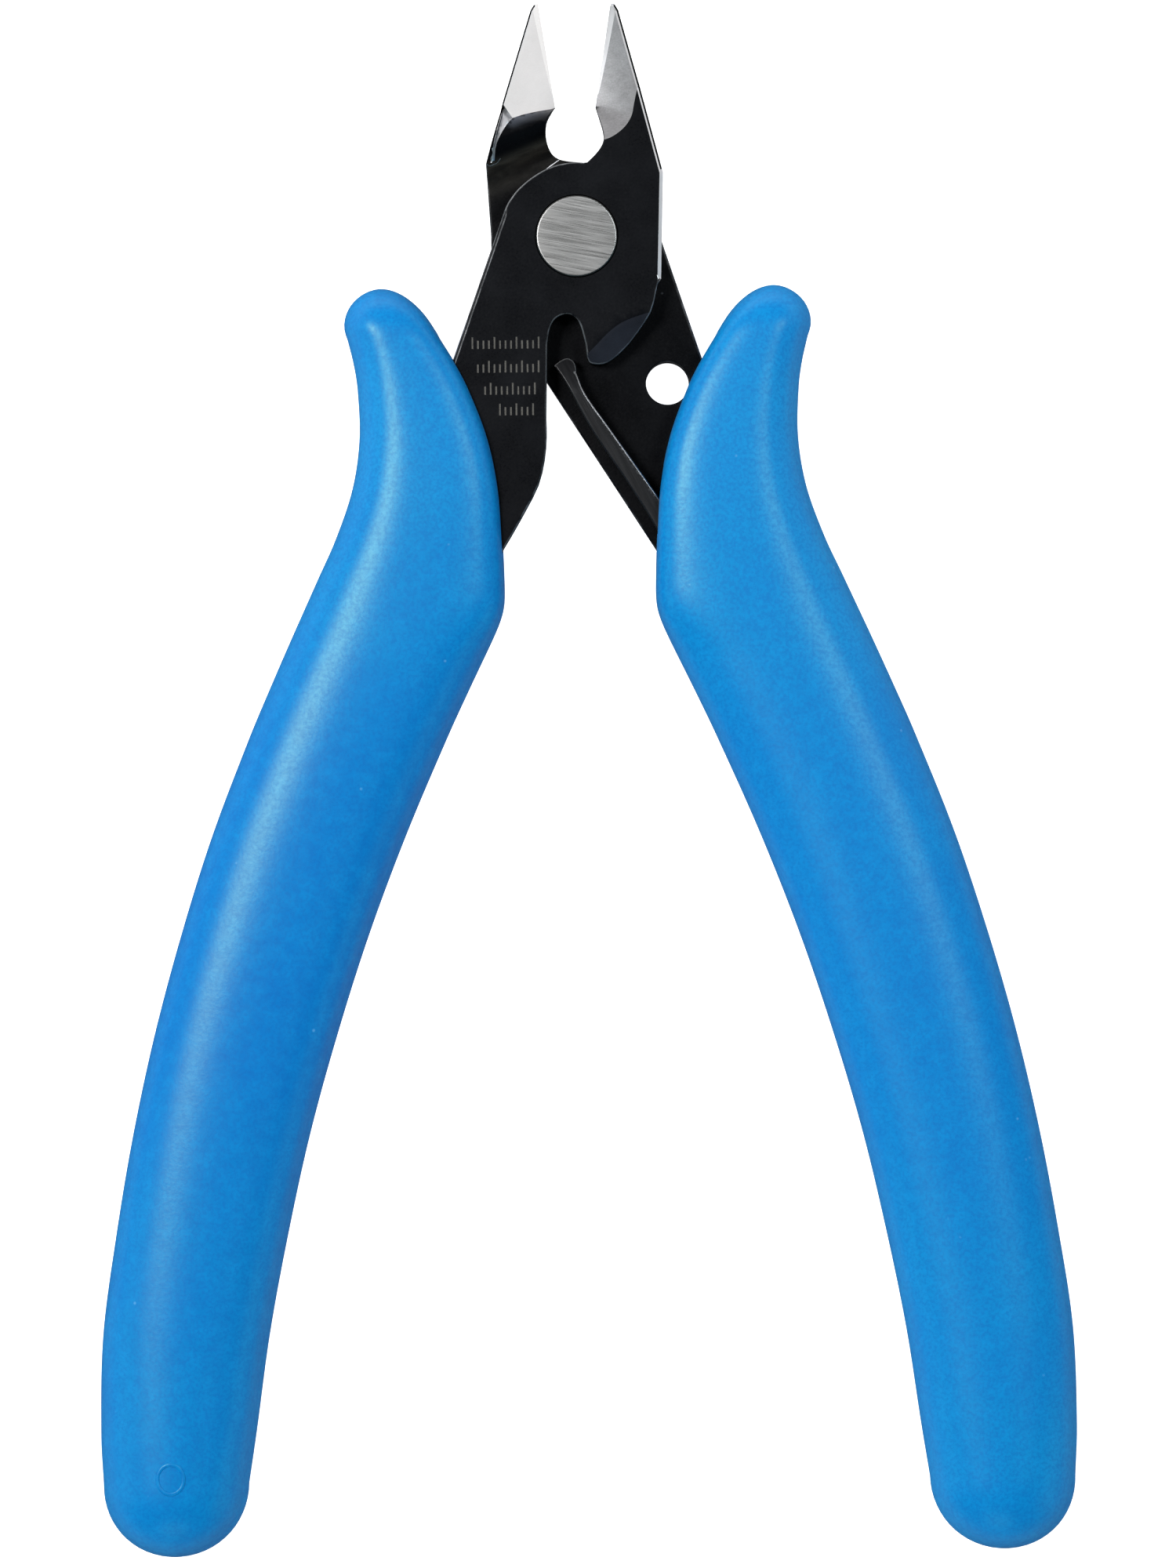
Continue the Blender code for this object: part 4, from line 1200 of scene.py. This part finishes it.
pocket = [p for p in SPRING_L if p[1] < -17.0] + arc(9.9, -30.0, 1.0, 200.0, 355.0, 10)
pocket += [swung(p) for p in SPRING_R if -29.0 < p[1] < -17.0]
carve(grip_right, prism("cut_c", grow(pocket, 0.15), -0.05, SPRING_TOP + 0.15))
finish_grip(grip_right, "rear_half", "right_grip")


# A small raised ring moulded into the left grip near its end.
def grip_height(x, y):
    mid, w, h = grip_row(y)
    u = min(0.999, abs(x - mid) / w)
    return h * (1.0 - u ** ramp(CROWN, y)) ** (1.0 / ramp(SIDE, y))


def moulded_ring(name, cx, cy, r, w, high):
    verts, faces = [], []
    n, m = 96, 10
    for k in range(n):
        a = 2 * math.pi * k / n
        for j in range(m):
            b = math.pi * j / (m - 1)
            q = r + w * math.cos(b)
            x, y = cx + q * math.cos(a), cy + q * 1.12 * math.sin(a)
            z = grip_height(x, y) - 0.05 + (high + 0.05) * math.sin(b) ** 0.8
            verts.append(world(x, y, z))
        verts.append(world(cx + r * math.cos(a), cy + r * 1.12 * math.sin(a), grip_height(cx, cy) - 0.5))
    s = m + 1
    for k in range(n):
        a, b = k * s, ((k + 1) % n) * s
        for j in range(s):
            j2 = (j + 1) % s
            faces.append((a + j, b + j, b + j2, a + j2))
    me = bpy.data.meshes.new(name)
    me.from_pydata(verts, [], faces)
    me.update()
    bm = bmesh.new()
    bm.from_mesh(me)
    bmesh.ops.recalc_face_normals(bm, faces=bm.faces)
    bm.to_mesh(me)
    bm.free()
    me.materials.append(PVC)
    me.shade_smooth()
    ob = bpy.data.objects.new(name, me)
    scene.collection.objects.link(ob)
    return ob


ring = moulded_ring("grip_left_ring", -33.28, -98.6, 1.05, 0.17, 0.07)
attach(ring, "front_half")

# ------------------------------------------------------- floor, light, camera
floor_me = bpy.data.meshes.new("floor")
R, seg = 1.6, 48
floor_me.from_pydata([(R * math.cos(2 * math.pi * k / seg), R * math.sin(2 * math.pi * k / seg), -0.0002)
                      for k in range(seg)], [], [tuple(range(seg))])
fm = Mat("studio_floor")
fm.put(Roughness=0.9, Specular_IOR_Level=0.1)
fn = fm.noise(fm.coord.outputs["Object"], 60.0, 3.0)
fm.link(fm.mix(fm.range(fn, 0.3, 0.7), (0.52, 0.52, 0.52), (0.56, 0.56, 0.56)), fm.b.inputs["Base Color"])
fm.b.inputs["Emission Color"].default_value = (1, 1, 1, 1)
fm.b.inputs["Emission Strength"].default_value = 1.15
floor_me.materials.append(fm.m)
floor = bpy.data.objects.new("floor", floor_me)
scene.collection.objects.link(floor)
floor.visible_glossy = False

world_bg = bpy.data.worlds.new("studio")
world_bg.use_nodes = True
bg = world_bg.node_tree.nodes["Background"]
bg.inputs["Color"].default_value = (0.95, 0.97, 1.0, 1)
bg.inputs["Strength"].default_value = 0.055
scene.world = world_bg


def area(name, loc, aim, size, radiance, tint=(1, 1, 1), shape="RECTANGLE"):
    """An area light set by its radiance: power = pi x area x radiance."""
    L = bpy.data.lights.new(name, "AREA")
    L.shape = shape
    L.size, L.size_y = size
    a = size[0] * size[1] * (math.pi / 4 if shape in ("DISK", "ELLIPSE") else 1.0)
    L.energy = math.pi * a * radiance
    L.color = tint
    ob = bpy.data.objects.new(name, L)
    ob.location = loc
    ob.rotation_euler = (Vector(aim) - Vector(loc)).to_track_quat("-Z", "Y").to_euler()
    scene.collection.objects.link(ob)
    return ob


area("key", (-0.560, 0.230, 1.040), (0, 0, 0), (0.24, 0.38), 43.0)
area("second", (0.500, 0.260, 1.070), (0, 0, 0), (0.26, 0.26), 19.0, (0.90, 0.97, 1.0))
area("fill_front", (-0.10, -0.90, 0.60), (0, -0.03, 0), (0.5, 0.4), 2.4, (0.5, 0.9, 1.0))
area("fill_left", (-0.66, -0.10, 0.30), (0, -0.02, 0), (0.4, 0.3), 1.9, (0.45, 0.9, 1.0))
area("fill_right", (0.62, -0.30, 0.30), (0, -0.02, 0), (0.4, 0.3), 1.9, (0.40, 0.8, 1.0))
area("card_right", (0.140, 0.095, 0.072), (0.0, 0.056, 0.006), (0.12, 0.09), 0.98, (1.0, 0.975, 0.96))
area("card_right_top", (0.100, 0.175, 0.045), (0.0, 0.056, 0.006), (0.11, 0.08), 1.0)
area("card_left", (-0.150, 0.097, 0.045), (0.0, 0.056, 0.006), (0.115, 0.075), 0.84, (1.0, 0.965, 0.95))
area("card_mid", (-0.097, 0.180, 0.036), (0.0, 0.056, 0.006), (0.135, 0.085), 1.30)
area("card_top", (-0.005, 0.213, 0.022), (0.0, 0.056, 0.006), (0.120, 0.085), 1.50)

cam_d = bpy.data.cameras.new("camera")
cam_d.sensor_fit = "VERTICAL"
cam_d.sensor_height = 36.0
cam_d.lens = 150.0
cam_d.clip_start, cam_d.clip_end = 0.01, 10.0
cam = bpy.data.objects.new("camera", cam_d)
cam.location = (0.000452, -0.00049, 0.0055 + 0.5228)
cam.rotation_euler = (0, 0, math.radians(-0.6))
scene.collection.objects.link(cam)
scene.camera = cam
scene.view_settings.view_transform = "Standard"
scene.view_settings.look = "None"

bpy.context.view_layer.update()
